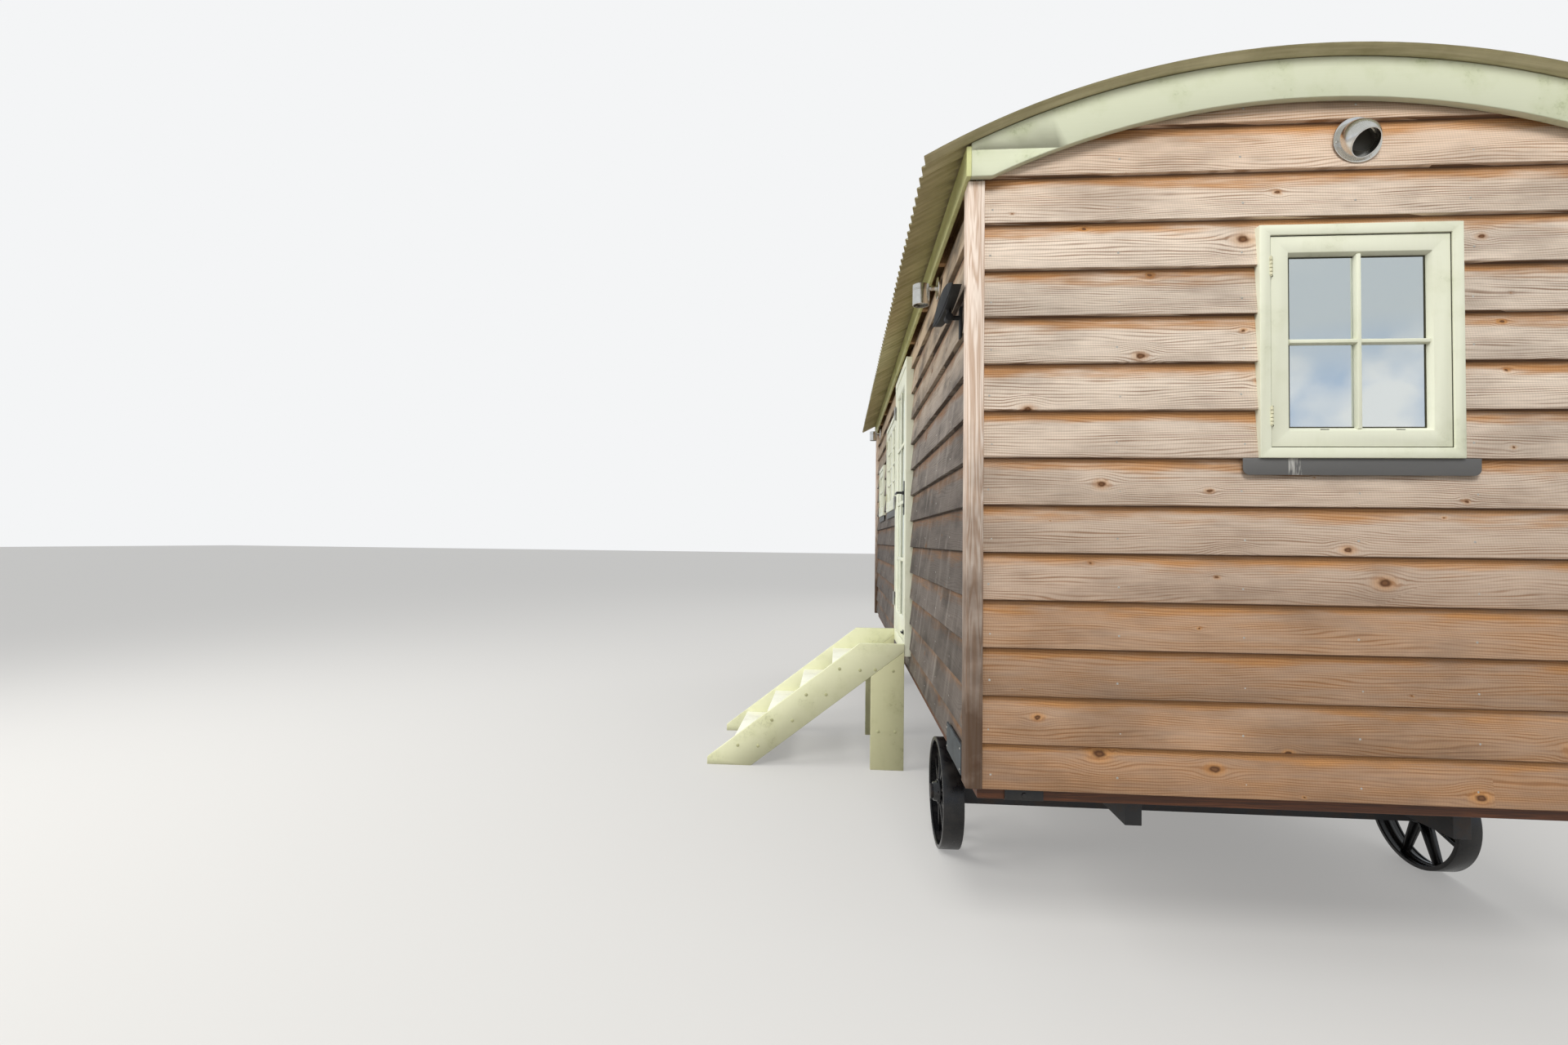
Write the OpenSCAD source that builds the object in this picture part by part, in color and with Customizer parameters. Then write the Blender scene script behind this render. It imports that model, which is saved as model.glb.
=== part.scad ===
// Shepherd's hut: a boarded timber body on four cast-iron wheels, with a curved corrugated roof,
// casement windows, a glazed door in the long left side and a flight of timber steps up to it.
// X runs across the hut, Y along it with the window gable at the low end, Z up from the ground.

/* [Body] */
// Length over the corner posts
body_l = 6100; // [5300:50:7400]
// Width over the corner posts
body_w = 2380; // [2200:10:2900]
// Height of the floor's walking surface above the ground
floor_z = 810; // [780:5:960]
// Height of the top of the side walls above the ground
eaves_z = 2790; // [2730:10:3400]
// Thickness of the framed walls without their boards
wall_t = 75; // [60:1:100]
// Depth of the timber floor frame
frame_h = 200; // [150:5:240]
// Thickness of the floor boards
deck_t = 25; // [18:1:30]
// Width of a corner post seen on the gable
post_w = 58; // [50:1:80]
// Depth of a corner post seen on the long side
post_d = 85; // [60:1:120]

/* [Boards] */
// Thickness of a board at its lower edge
clad_t = 28; // [24:1:34]
// How far a board's face falls back towards its top
clad_step = 20; // [10:1:20]
// Height of each board that shows
exposure = 168; // [120:1:200]
// Height of the lowest edge of the gable boards
gable_skirt_z = 627; // [600:1:700]
// Height of the lowest edge of the long sides' boards
side_skirt_z = 655; // [610:1:700]
// Height of the second board's lower edge all round
board_line_z = 786; // [760:1:820]

/* [Roof] */
// Radius of the roof's curve at the underside of the sheets
roof_r = 2800; // [2300:10:3600]
// Depth of the fascia and of the bargeboard's flat end
fascia_h = 113; // [90:1:150]
// Depth of the bargeboard along its curve
barge_h = 141; // [100:1:200]
// Thickness of the fascia boards
fascia_t = 18; // [15:1:30]
// Thickness of the bargeboards
barge_t = 28; // [18:1:35]
// How far the sheets reach out past the fascia
eave_reach = 155; // [80:5:220]
// Distance between two crests of the corrugation
wave_pitch = 76; // [60:1:110]
// Height of a corrugation from trough to crest
wave_h = 18; // [12:1:24]
// Thickness of the sheet metal
sheet_t = 1.2; // [0.7:0.1:2]
// Number of roof sheets
sheets = 9; // [5:1:11]
// Number of corrugations in one sheet
waves_a_sheet = 10; // [8:1:12]

/* [Door] */
// Distance of the door frame from the window gable's posts
door_from_front = 2124; // [1500:10:2600]
// Width over the door frame
door_w = 850; // [780:10:1000]
// Height of the lower edge of the door frame above the ground
door_low_z = 740; // [700:5:760]
// Height of the top of the door frame above the ground
door_top_z = 2715; // [2600:5:2730]
// Width of the door frame's face
door_face = 52; // [40:1:70]
// Thickness of the door leaf
leaf_t = 50; // [46:1:60]
// Width of the door's stiles
stile_w = 92; // [70:1:120]
// Height of the door's bottom rail
bottom_rail = 140; // [100:5:250]
// Height of the door's top rail
top_rail = 92; // [70:1:150]

/* [Windows] */
// Width over the gable window's frame
gable_win_w = 660; // [500:1:900]
// Height over the gable window's frame
gable_win_h = 807; // [600:1:900]
// Height of the lower edge of the gable window's frame
gable_win_z = 1793; // [1500:1:1850]
// How far the gable window stands to the right of the middle
gable_win_x = 128; // [-300:1:300]
// Width over the long side window's frame
long_win_w = 1200; // [900:10:1300]
// Height over the long side window's frame
long_win_h = 790; // [600:5:850]
// Distance of the long side window from the window gable's posts
long_win_from_front = 3070; // [3040:5:3200]
// Width over the short side window's frame
short_win_w = 700; // [500:5:800]
// Height over the short side window's frame
short_win_h = 520; // [400:5:700]
// Distance of the short side window from the window gable's posts
short_win_from_front = 4750; // [4500:5:4800]
// Height of the lower edge of both side windows' frames
side_win_z = 1763; // [1500:5:1850]
// Width of a window frame's face
win_face = 36; // [30:1:50]
// Width of a sash's stiles and rails
sash_w = 57; // [45:1:70]
// Thickness of a sash
sash_t = 56; // [52:1:60]
// How far the window frames stand out of the boards
win_proud = 12; // [8:1:25]
// Thickness of the double glazing
glass_t = 24; // [6:1:28]
// How far a window's glass lies behind its sash's face
glass_in = 20; // [12:1:20]
// How far the splay round a pane narrows its opening
splay = 11; // [0:1:15]
// How far a pane reaches into the groove that holds it
groove = 8; // [4:1:12]

/* [Running gear] */
// Radius of the wheels at the tread
wheel_r = 260; // [220:5:260]
// Width of the tread
tread_w = 96; // [70:1:120]
// How far the tread's outer face lies inside the corner posts
wheel_inset = 40; // [40:1:90]
// Distance of each axle from the gable's posts
axle_from_end = 1024; // [800:10:1200]
// Radius of the axle stubs
axle_r = 25; // [20:1:30]
// Number of spokes in a wheel
spokes = 8; // [6:1:12]
// Thickness of the rim under the tread
rim_t = 14; // [10:1:22]
// Radius of the hub
hub_r = 58; // [50:1:70]

/* [Steps] */
// Width over the two strings
steps_w = 860; // [700:10:1000]
// Rise from one tread to the next
rise = 170; // [150:1:190]
// Going from one tread to the next
going = 220; // [200:1:260]
// Number of treads, the landing included
treads = 4; // [4:1:5]
// Depth of the landing from its nose to the wall end
landing_d = 470; // [400:10:700]
// Depth of a string square to its slope
string_h = 216; // [180:1:250]
// Thickness of the strings, treads and legs
step_t = 32; // [25:1:45]

/* [Hidden] */
// Clearance between fixed pieces that seat on each other
seat = 0.3;
// Clearance round a moving piece
move_gap = 5;

// Walls and gables
side_set = 46;
gable_set = 32;
core_x = body_w / 2 - side_set;
core_y = body_l / 2 - gable_set;
inner_x = core_x - wall_t;
inner_y = core_y - wall_t;
wall_low_z = floor_z - deck_t;
frame_low_z = wall_low_z - frame_h;

// Roof curve
facet_off = 0.43;
arc_fn = 4 * ceil(45 / acos(1 - facet_off / roof_r));
above = 1000;
post_gap = 4;
arc_x = body_w / 2 + 12;
arc_z = eaves_z + fascia_h - sqrt(pow(roof_r, 2) - pow(arc_x, 2));
roof_deck_t = 20;
deck_r = roof_r - roof_deck_t;
lining_r = roof_r - barge_h - post_gap;
lining_t = 15;
lining_lap = 1.5;
wall_top_z = max(eaves_z, arc_z + sqrt(pow(lining_r - lining_t, 2) - pow(inner_x, 2)) + lining_lap);
bow_w = 45;
bows = 10;

// Openings in the long left side
door_y = -body_l / 2 + door_from_front;
leaf_w = door_w - 2 * door_face - 2 * move_gap;
door_out_x = body_w / 2 + 14;
leaf_out_x = door_out_x - 2;
threshold_t = 13;
leaf_low_z = floor_z + threshold_t + move_gap;
leaf_top_z = door_top_z - door_face - move_gap;
leaf_y = door_y + door_face + move_gap;
leading_edge = 3;
leaf_glass_in = (leaf_t - glass_t) / 2;
glazing_h = leaf_top_z - leaf_low_z - bottom_rail - top_rail;
stop_x = leaf_out_x - leaf_t - move_gap;
stop_reach = 15;
stop_w = door_face + stop_reach;
hinge_r = 8;
pin_r = 5;
pin_play = 0.05;
hinge_half = 50;
pin_l = hinge_half - 10;
hinge_in = 180;
hinge_x = door_out_x + hinge_r + seat;
hinge_plate = [3, 40, 5];
hinge_y = leaf_y + leaf_w + move_gap / 2;
hinge_zs = [leaf_low_z + hinge_in, (leaf_low_z + leaf_top_z) / 2, leaf_top_z - hinge_in - hinge_half];
handle_z = floor_z + 1010;

// Running gear
axle_y = body_l / 2 - axle_from_end;
wheel_out_x = body_w / 2 - wheel_inset;
wheel_mid_x = wheel_out_x - tread_w / 2;
hub_l = tread_w + 30;
axle_play = 0.05;
rail_h = 120;
rail_w = 60;
rail_x = 560;
beam_h = 80;

// Steps
step_wall_x = -door_out_x - seat;
step_y = door_y + (door_w - steps_w) / 2;
landing_drop = rise - 22;
landing_z = floor_z - landing_drop;
string_top_z = floor_z + 10;
string_flat = 25;
nose_x = step_wall_x - landing_d;
slope = atan(rise / going);
string_drop = string_h / cos(slope);
string_flat_x = nose_x + (string_top_z - landing_z) / tan(slope) - string_flat;
toe_x = string_flat_x - string_top_z / tan(slope);
leg_w = 216;
toe_cut = 60;

// The origin lies on the ground, in the middle of the box round the whole object
steps_reach = -toe_x - toe_cut;
eave_x = arc_x + eave_reach;
shift_x = (steps_reach - eave_x) / 2;

module box(low, high) { translate(low) cube(high - low); }

// Puts the hut's frame on the object's origin
module placed() { translate([shift_x, 0, 0]) children(); }

// Copies a piece of the front to the rear by half a turn
module front_and_rear() {
    children();
    rotate([0, 0, 180]) children();
}

// Turns local X, outward -Y to a wall: the left wall, the right wall
module on_left(y, z) { translate([-core_x, y, z]) rotate([0, 0, -90]) children(); }
module on_right(y, z) { translate([core_x, y, z]) rotate([0, 0, 90]) children(); }
module on_front(x, z) { translate([x, -core_y, z]) children(); }

// A flat sector of the roof's curve across the hut, extruded along Y from y0 to y1
module curved(r_in, r_out, half_x, y0, y1) {
    translate([0, y1, 0]) rotate([90, 0, 0]) linear_extrude(y1 - y0) intersection() {
        translate([0, arc_z]) difference() {
            circle(r_out, $fn = arc_fn);
            circle(r_in, $fn = arc_fn);
        }
        translate([-half_x, arc_z + above]) square([2 * half_x, r_out]);
    }
}

// Floor
module floor_deck() {
    color("burlywood") box([-inner_x + seat, -inner_y + seat, wall_low_z],
        [inner_x - seat, inner_y - seat, floor_z]);
}

// Two end beams, two side beams between them, and joists between the side beams
module floor_frame() {
    beam_t = 50;
    joists = 9;
    side_end = core_y - beam_t - seat;
    joist_end = core_x - beam_t - seat;
    color("saddlebrown") {
        front_and_rear() {
            box([-core_x, -core_y, frame_low_z], [core_x, -core_y + beam_t, wall_low_z]);
            box([core_x - beam_t, -side_end, frame_low_z], [core_x, side_end, wall_low_z]);
        }
        for (i = [1 : joists]) translate([0, -core_y + i * 2 * core_y / (joists + 1), 0])
            box([-joist_end, -beam_t / 2, frame_low_z], [joist_end, beam_t / 2, wall_low_z]);
    }
}

module beam_brackets() {
    plate = [133, 6, 38];
    from_corner = 141;
    bolt = [9, 6];
    color("black") front_and_rear() for (side = [-1, 1])
        translate([side * (body_w / 2 - from_corner - plate.x / 2), -core_y, frame_low_z]) {
            box([-plate.x / 2, -plate.y, 0], [plate.x / 2, 0, plate.z]);
            translate([0, -plate.y, plate.z / 2]) rotate([90, 0, 0]) cylinder(r = bolt.x, h = bolt.y, $fn = 6);
        }
}

// Chassis, axles and wheels
module chassis_rails() {
    end_gap = 120;
    color("dimgray") for (side = [-1, 1]) {
        box([side * rail_x - rail_w / 2, -core_y + end_gap, frame_low_z - rail_h],
            [side * rail_x + rail_w / 2, core_y - end_gap, frame_low_z]);
    }
}

module axle(y) {
    hub_in_x = wheel_mid_x - hub_l / 2;
    hub_out_x = wheel_mid_x + hub_l / 2;
    bar_gap = 8;
    collar = [axle_r + 10, 12];
    washer = [axle_r + 14, 9];
    riser_low = 90;
    riser_high = 220;
    riser_z = frame_low_z - rail_h;
    color("dimgray") translate([0, y, 0]) {
        box([-hub_in_x + bar_gap, -beam_h / 2, wheel_r - beam_h / 2],
            [hub_in_x - bar_gap, beam_h / 2, wheel_r + beam_h / 2]);
        for (side = [-1, 1]) {
            translate([side * rail_x + rail_w / 2, 0, 0]) rotate([90, 0, -90]) linear_extrude(rail_w)
                polygon([[-riser_low / 2, wheel_r + beam_h / 2], [riser_low / 2, wheel_r + beam_h / 2],
                         [riser_high / 2, riser_z], [-riser_high / 2, riser_z]]);
            translate([side * (hub_in_x - washer.y), 0, wheel_r]) rotate([0, side * 90, 0]) {
                cylinder(r = axle_r, h = washer.y + hub_l + seat, $fn = 48);
                cylinder(r = washer.x, h = washer.y - seat, $fn = 48);
                translate([0, 0, washer.y + hub_l + seat]) cylinder(r = collar.x, h = collar.y, $fn = 48);
            }
        }
    }
}

module front_axle() { axle(-axle_y); }
module rear_axle() { axle(axle_y); }

// Half a section of the rim, its x from the wheel's axis: a flat tread with a rib inside it
module rim_section() {
    rib_h = 16;
    rib_w = 20;
    inner = wheel_r - rim_t;
    polygon([[wheel_r, -tread_w / 2], [wheel_r, tread_w / 2], [inner, tread_w / 2],
             [inner, rib_w / 2], [inner - rib_h, rib_w / 2], [inner - rib_h, -rib_w / 2],
             [inner, -rib_w / 2], [inner, -tread_w / 2]]);
}

// Half a section of the hub, with a stepped nose at each end
module hub_section() {
    end = hub_l / 2;
    nose_l = 22;
    nose_r = hub_r - 14;
    root_r = nose_r + 4;
    shoulder = end - nose_l;
    polygon([[0, -end], [nose_r, -end], [root_r, -shoulder], [hub_r, -shoulder],
             [hub_r, shoulder], [root_r, shoulder], [nose_r, end], [0, end]]);
}

// The spokes lie flat in the wheel's plane, each crossed by a rib. Web and rib are both given as
// thickness, half width at the hub and half width at the rim.
module spokes_and_ribs() {
    web = [14, 28, 17];
    rib = [12, 32, 20];
    from = hub_r - 14;
    to = wheel_r - rim_t + 2;
    translate([0, 0, -web.x / 2]) linear_extrude(web.x) for (i = [0 : spokes - 1])
        rotate(i * 360 / spokes) polygon([[from, -web.y], [to, -web.z], [to, web.z], [from, web.y]]);
    for (i = [0 : spokes - 1]) rotate([0, 0, i * 360 / spokes])
        translate([0, rib.x / 2, 0]) rotate([90, 0, 0]) linear_extrude(rib.x)
            polygon([[from, -rib.y], [to, -rib.z], [to, rib.z], [from, rib.y]]);
}

module wheel(side, y) {
    color([0.08, 0.08, 0.09]) translate([side * wheel_mid_x, y, wheel_r]) rotate([0, 90, 0]) difference() {
        union() {
            rotate_extrude($fn = 96) rim_section();
            rotate_extrude($fn = 64) hub_section();
            spokes_and_ribs();
        }
        cylinder(r = axle_r + axle_play, h = hub_l + 2, center = true, $fn = 48);
    }
}

module wheel_front_left() { wheel(-1, -axle_y); }
module wheel_front_right() { wheel(1, -axle_y); }
module wheel_rear_left() { wheel(-1, axle_y); }
module wheel_rear_right() { wheel(1, axle_y); }

// Walls
module window_hole(w, h) { box([-w / 2, -1, 0], [w / 2, wall_t + 1, h]); }

module gable_wall() {
    color("wheat") difference() {
        intersection() {
            box([-core_x, -core_y, wall_low_z], [core_x, -inner_y, eaves_z + above]);
            translate([0, -inner_y + 1, arc_z]) rotate([90, 0, 0])
                cylinder(r = deck_r, h = wall_t + 2, $fn = arc_fn);
        }
        on_front(gable_win_x, gable_win_z) window_hole(gable_win_w, gable_win_h);
    }
}

module front_gable_wall() { gable_wall(); }
module rear_gable_wall() { rotate([0, 0, 180]) gable_wall(); }

long_win_y = -body_l / 2 + long_win_from_front + long_win_w / 2;
short_win_y = -body_l / 2 + short_win_from_front + short_win_w / 2;

module left_wall_front() {
    color("wheat") box([-core_x, -inner_y, wall_low_z], [-inner_x, door_y, wall_top_z]);
}

module left_wall_rear() {
    color("wheat") difference() {
        box([-core_x, door_y + door_w, wall_low_z], [-inner_x, inner_y, wall_top_z]);
        on_left(long_win_y, side_win_z) window_hole(long_win_w, long_win_h);
        on_left(short_win_y, side_win_z) window_hole(short_win_w, short_win_h);
    }
}

module left_wall_head() {
    color("wheat") box([-core_x, door_y, door_top_z], [-inner_x, door_y + door_w, wall_top_z]);
}

module right_wall() {
    color("wheat") difference() {
        box([inner_x, -inner_y, wall_low_z], [core_x, inner_y, wall_top_z]);
        on_right(long_win_y, side_win_z) window_hole(long_win_w, long_win_h);
    }
}

module corner_posts() {
    low_z = gable_skirt_z;
    top_z = eaves_z - post_gap;
    color("tan") front_and_rear() for (side = [-1, 1]) scale([side, 1, 1]) difference() {
        box([body_w / 2 - post_w, -body_l / 2, low_z], [body_w / 2, -body_l / 2 + post_d, top_z]);
        box([0, -core_y, low_z - 1], [core_x, 0, top_z + 1]);
    }
}

// Lapped boards: the profile's x is how far the face stands out, its y is the height
least_board = 20;
function board_zs(low, high) =
    concat([low], [for (z = board_line_z; z < high - least_board; z = z + exposure) z], [high]);

// How far the boards stand out behind something that reaches from z0 up to z1
function board_row(z) = floor((z - board_line_z) / exposure);
function boards_out(z0, z1) = board_row(z1) > board_row(z0) ? clad_t
    : clad_t - clad_step * ((z0 - board_line_z) / exposure - board_row(z0));

module board_profile(low, high) {
    zs = board_zs(low, high);
    rows = len(zs) - 1;
    polygon(concat([[0, low]],
        [for (i = [0 : rows - 1], end = [0, 1])
            [end == 0 ? clad_t : clad_t - clad_step * (zs[i + 1] - zs[i]) / exposure, zs[i + end]]],
        [[0, high]]));
}

// A run of boards on a wall whose face is y = 0, outward -Y, from x0 to x1
module board_run(x0, x1, low, high) {
    translate([x0, 0, 0]) rotate([90, 0, 90]) linear_extrude(x1 - x0)
        mirror([1, 0]) board_profile(low, high);
}

module gable_boards() {
    half = body_w / 2 - post_w;
    edge_gap = 6;
    color("peru") difference() {
        intersection() {
            on_front(0, 0) board_run(-half, half, gable_skirt_z, arc_z + roof_r);
            translate([0, -core_y + 1, arc_z]) rotate([90, 0, 0])
                cylinder(r = roof_r - edge_gap, h = clad_t + 2, $fn = arc_fn);
        }
        on_front(gable_win_x, gable_win_z)
            box([-gable_win_w / 2, -clad_t - 1, 0], [gable_win_w / 2, 1, gable_win_h]);
    }
}

module front_boards() { gable_boards(); }
module rear_boards() { rotate([0, 0, 180]) gable_boards(); }

board_end_y = body_l / 2 - post_d;

module side_window_cut(w, h) { box([-w / 2, -clad_t - 1, 0], [w / 2, 1, h]); }

module left_boards() {
    color("peru") difference() {
        translate([-core_x, 0, 0]) rotate([0, 0, -90])
            board_run(-board_end_y, board_end_y, side_skirt_z, eaves_z);
        box([-core_x - clad_t - 1, door_y, door_low_z], [-core_x + 1, door_y + door_w, door_top_z]);
        on_left(long_win_y, side_win_z) side_window_cut(long_win_w, long_win_h);
        on_left(short_win_y, side_win_z) side_window_cut(short_win_w, short_win_h);
    }
}

module right_boards() {
    color("peru") difference() {
        translate([core_x, 0, 0]) rotate([0, 0, 90])
            board_run(-board_end_y, board_end_y, side_skirt_z, eaves_z);
        on_right(long_win_y, side_win_z) side_window_cut(long_win_w, long_win_h);
    }
}

// Roof
module ceiling_lining() {
    color("ivory") curved(lining_r - lining_t, lining_r, inner_x, -inner_y, inner_y);
}

module roof_bows() {
    color("burlywood") difference() {
        for (i = [0 : bows - 1]) {
            y = -inner_y + bow_w / 2 + i * (2 * inner_y - bow_w) / (bows - 1);
            curved(lining_r, deck_r, arc_x - fascia_t, y - bow_w / 2, y + bow_w / 2);
        }
        for (side = [-1, 1]) {
            box([side > 0 ? inner_x : -core_x, -inner_y - 1, 0],
                [side > 0 ? core_x : -inner_x, inner_y + 1, wall_top_z]);
            box([side > 0 ? core_x - 1 : -arc_x, -inner_y - 1, 0],
                [side > 0 ? arc_x : 1 - core_x, inner_y + 1, eaves_z]);
        }
    }
}

module roof_deck() {
    color("burlywood") curved(deck_r, roof_r - seat, arc_x - fascia_t, -core_y, core_y);
}

// One sheet's outline, its x from the roof's axis and its y along the hut
module wave_outline(r) {
    steps = 6;
    points = waves_a_sheet * steps;
    line = [for (i = [0 : points]) [r + wave_h / 2 * (1 + cos(i * 360 / steps)), i * wave_pitch / steps]];
    polygon(concat([for (p = line) p + [sheet_t, 0]], [for (i = [points : -1 : 0]) line[i]]));
}

module roof_sheets() {
    crest_r = roof_r + 2 * seat + 2 * sheet_t + wave_h;
    half_angle = asin(eave_x / crest_r);
    cover = (waves_a_sheet - 1) * wave_pitch;
    roof_l = sheets * cover + wave_pitch;
    color([0.45, 0.44, 0.36]) for (i = [0 : sheets - 1])
        translate([0, roof_l / 2 - i * cover, arc_z]) rotate([90, 0, 0])
            rotate([0, 0, 90 - half_angle]) rotate_extrude(angle = 2 * half_angle, $fn = arc_fn)
                wave_outline(roof_r + seat + (i % 2) * (sheet_t + seat));
}

module bargeboards() {
    back = clad_t + seat;
    color([0.87, 0.89, 0.78]) front_and_rear() translate([0, -core_y - back, 0]) rotate([90, 0, 0])
        linear_extrude(barge_t) difference() {
            intersection() {
                translate([0, arc_z]) circle(roof_r - seat, $fn = arc_fn);
                translate([-arc_x + fascia_t, eaves_z]) square([2 * (arc_x - fascia_t), above]);
            }
            translate([0, arc_z]) circle(roof_r - barge_h, $fn = arc_fn);
        }
}

module fascias() {
    end_y = core_y + clad_t + seat + barge_t;
    top_z = arc_z + sqrt(pow(roof_r, 2) - pow(arc_x, 2)) - post_gap;
    color([0.72, 0.76, 0.55]) for (side = [-1, 1])
        box([side > 0 ? arc_x - fascia_t : -arc_x, -end_y, eaves_z],
            [side > 0 ? arc_x : -arc_x + fascia_t, end_y, top_z]);
}

// An opening of w by h in a sash or leaf, whose outer face is y = 0 and whose body lies at +Y.
// It is splayed from the face to the glass, and a groove round it holds the pane.
module glazed_hole(w, h, t, glass_y) {
    low_w = w / 2 - splay;
    low_h = h / 2 - splay;
    box([-low_w, -1, -low_h], [low_w, t + 1, low_h]);
    box([-low_w - groove, glass_y - seat, -low_h - groove],
        [low_w + groove, glass_y + glass_t + seat, low_h + groove]);
    intersection() {
        translate([0, 0, -h]) linear_extrude(2 * h) splay_section(w / 2, low_w, glass_y);
        translate([-w, 0, 0]) rotate([90, 0, 90]) linear_extrude(2 * w)
            mirror([1, -1]) splay_section(h / 2, low_h, glass_y);
    }
}

// A section of the splay: half is its half width at the face, low its half width at the glass
module splay_section(half, low, depth) {
    polygon([[-half, -1], [half, -1], [half, 0], [low, depth], [-low, depth], [-half, 0]]);
}

// The pane for such an opening
module pane(w, h, glass_y) {
    half_w = w / 2 - splay + groove - seat;
    half_h = h / 2 - splay + groove - seat;
    box([-half_w, glass_y, -half_h], [half_w, glass_y + glass_t, half_h]);
}

// Windows, each with its middle at x = 0, its lower edge at z = 0 and the framed wall's face at y = 0
win_out_y = -clad_t - win_proud;
sash_set = 6;
sash_stop = 14;
sash_out_y = win_out_y + sash_set;
sash_in_y = sash_out_y + sash_t;
sash_gap = 3;

module window_frame(w, h, lights) {
    stop = win_face + sash_stop;
    difference() {
        box([-w / 2, win_out_y, 0], [w / 2, wall_t, h]);
        box([-w / 2 + stop, win_out_y - 1, stop], [w / 2 - stop, wall_t + 1, h - stop]);
        box([-w / 2 + win_face, win_out_y - 1, win_face],
            [w / 2 - win_face, sash_in_y + seat, h - win_face]);
    }
    if (lights > 1) for (i = [1 : lights - 1]) {
        x = -w / 2 + win_face + i * (w - 2 * win_face) / lights;
        box([x - win_face / 2, sash_in_y + seat, stop - 1], [x + win_face / 2, wall_t, h - stop + 1]);
    }
}

// Width of one of a window's sashes, where its middle is, and the height of them all
function light_w(w, lights) = (w - 2 * win_face - (lights + 1) * sash_gap) / lights;
function light_x(w, lights, i) =
    -w / 2 + win_face + sash_gap + i * (light_w(w, lights) + sash_gap) + light_w(w, lights) / 2;
function light_h(h) = h - 2 * (win_face + sash_gap);

module window_sashes(w, h, lights) {
    lw = light_w(w, lights);
    lh = light_h(h);
    for (i = [0 : lights - 1]) translate([light_x(w, lights, i), sash_out_y, h / 2]) difference() {
        box([-lw / 2, 0, -lh / 2], [lw / 2, sash_t, lh / 2]);
        glazed_hole(lw - 2 * sash_w, lh - 2 * sash_w, sash_t, glass_in);
    }
}

module window_panes(w, h, lights) {
    for (i = [0 : lights - 1]) translate([light_x(w, lights, i), sash_out_y, h / 2])
        pane(light_w(w, lights) - 2 * sash_w, light_h(h) - 2 * sash_w, glass_in);
}

// A flat plate in local X and Y with rounded corners
module rounded_plate(w, h, r, t) {
    linear_extrude(t) {
        translate([-w / 2 + r, -h / 2]) square([w - 2 * r, h]);
        translate([-w / 2, -h / 2 + r]) square([w, h - 2 * r]);
        for (x = [-1, 1], y = [-1, 1]) translate([x * (w / 2 - r), y * (h / 2 - r)]) circle(r, $fn = 32);
    }
}

// Sheet metal under a window, its lower corners rounded
module flashing(w) {
    drop = 58;
    reach = 53;
    corner = 22;
    sheet = 3;
    color("dimgray") translate([0, -clad_t - seat, -drop / 2]) rotate([90, 0, 0]) {
        rounded_plate(w + 2 * reach, drop, corner, sheet);
        translate([-w / 2 - reach, drop / 2 - corner, 0]) cube([w + 2 * reach, corner, sheet]);
    }
}

module gable_window_frames() {
    color([0.86, 0.88, 0.76]) front_and_rear() on_front(gable_win_x, gable_win_z)
        window_frame(gable_win_w, gable_win_h, 1);
}

module gable_window_sashes() {
    color([0.86, 0.88, 0.76]) front_and_rear() on_front(gable_win_x, gable_win_z)
        window_sashes(gable_win_w, gable_win_h, 1);
}

module gable_window_glass() {
    color([0.7, 0.8, 0.85, 0.4]) front_and_rear() on_front(gable_win_x, gable_win_z)
        window_panes(gable_win_w, gable_win_h, 1);
}

module side_window_frames() {
    color([0.86, 0.88, 0.76]) {
        on_left(long_win_y, side_win_z) window_frame(long_win_w, long_win_h, 2);
        on_left(short_win_y, side_win_z) window_frame(short_win_w, short_win_h, 1);
        on_right(long_win_y, side_win_z) window_frame(long_win_w, long_win_h, 2);
    }
}

module side_window_sashes() {
    color([0.86, 0.88, 0.76]) {
        on_left(long_win_y, side_win_z) window_sashes(long_win_w, long_win_h, 2);
        on_left(short_win_y, side_win_z) window_sashes(short_win_w, short_win_h, 1);
        on_right(long_win_y, side_win_z) window_sashes(long_win_w, long_win_h, 2);
    }
}

module side_window_glass() {
    color([0.7, 0.8, 0.85, 0.4]) {
        on_left(long_win_y, side_win_z) window_panes(long_win_w, long_win_h, 2);
        on_left(short_win_y, side_win_z) window_panes(short_win_w, short_win_h, 1);
        on_right(long_win_y, side_win_z) window_panes(long_win_w, long_win_h, 2);
    }
}

module window_flashings() {
    front_and_rear() on_front(gable_win_x, gable_win_z) flashing(gable_win_w);
    on_left(long_win_y, side_win_z) flashing(long_win_w);
    on_left(short_win_y, side_win_z) flashing(short_win_w);
    on_right(long_win_y, side_win_z) flashing(long_win_w);
}

// Door
module door_frame() {
    color([0.86, 0.88, 0.76]) {
        difference() {
            box([-door_out_x, door_y, door_low_z], [-inner_x, door_y + door_w, door_top_z]);
            box([-stop_x, door_y + stop_w, floor_z + threshold_t], [-inner_x + 1, door_y + door_w - stop_w,
                 door_top_z - stop_w]);
            box([-door_out_x - 1, door_y + door_face, floor_z + threshold_t],
                [-stop_x, door_y + door_w - door_face, door_top_z - door_face]);
            box([-core_x, door_y - 1, door_low_z - 1], [-inner_x + 1, door_y + door_w + 1, wall_low_z]);
        }
    }
}

// A lift-off hinge: the frame's half carries the pin, the leaf's half turns on it
module frame_hinges() {
    color("silver") for (z = hinge_zs) translate([-hinge_x, hinge_y, z]) {
        cylinder(r = hinge_r, h = hinge_half, $fn = 40);
        translate([0, 0, hinge_half]) cylinder(r = pin_r, h = pin_l, $fn = 40);
        box([hinge_x - door_out_x - seat - hinge_plate.x, move_gap / 2 + 1, hinge_plate.z],
            [hinge_x - door_out_x - seat, hinge_plate.y, hinge_half - hinge_plate.z]);
    }
}

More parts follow.
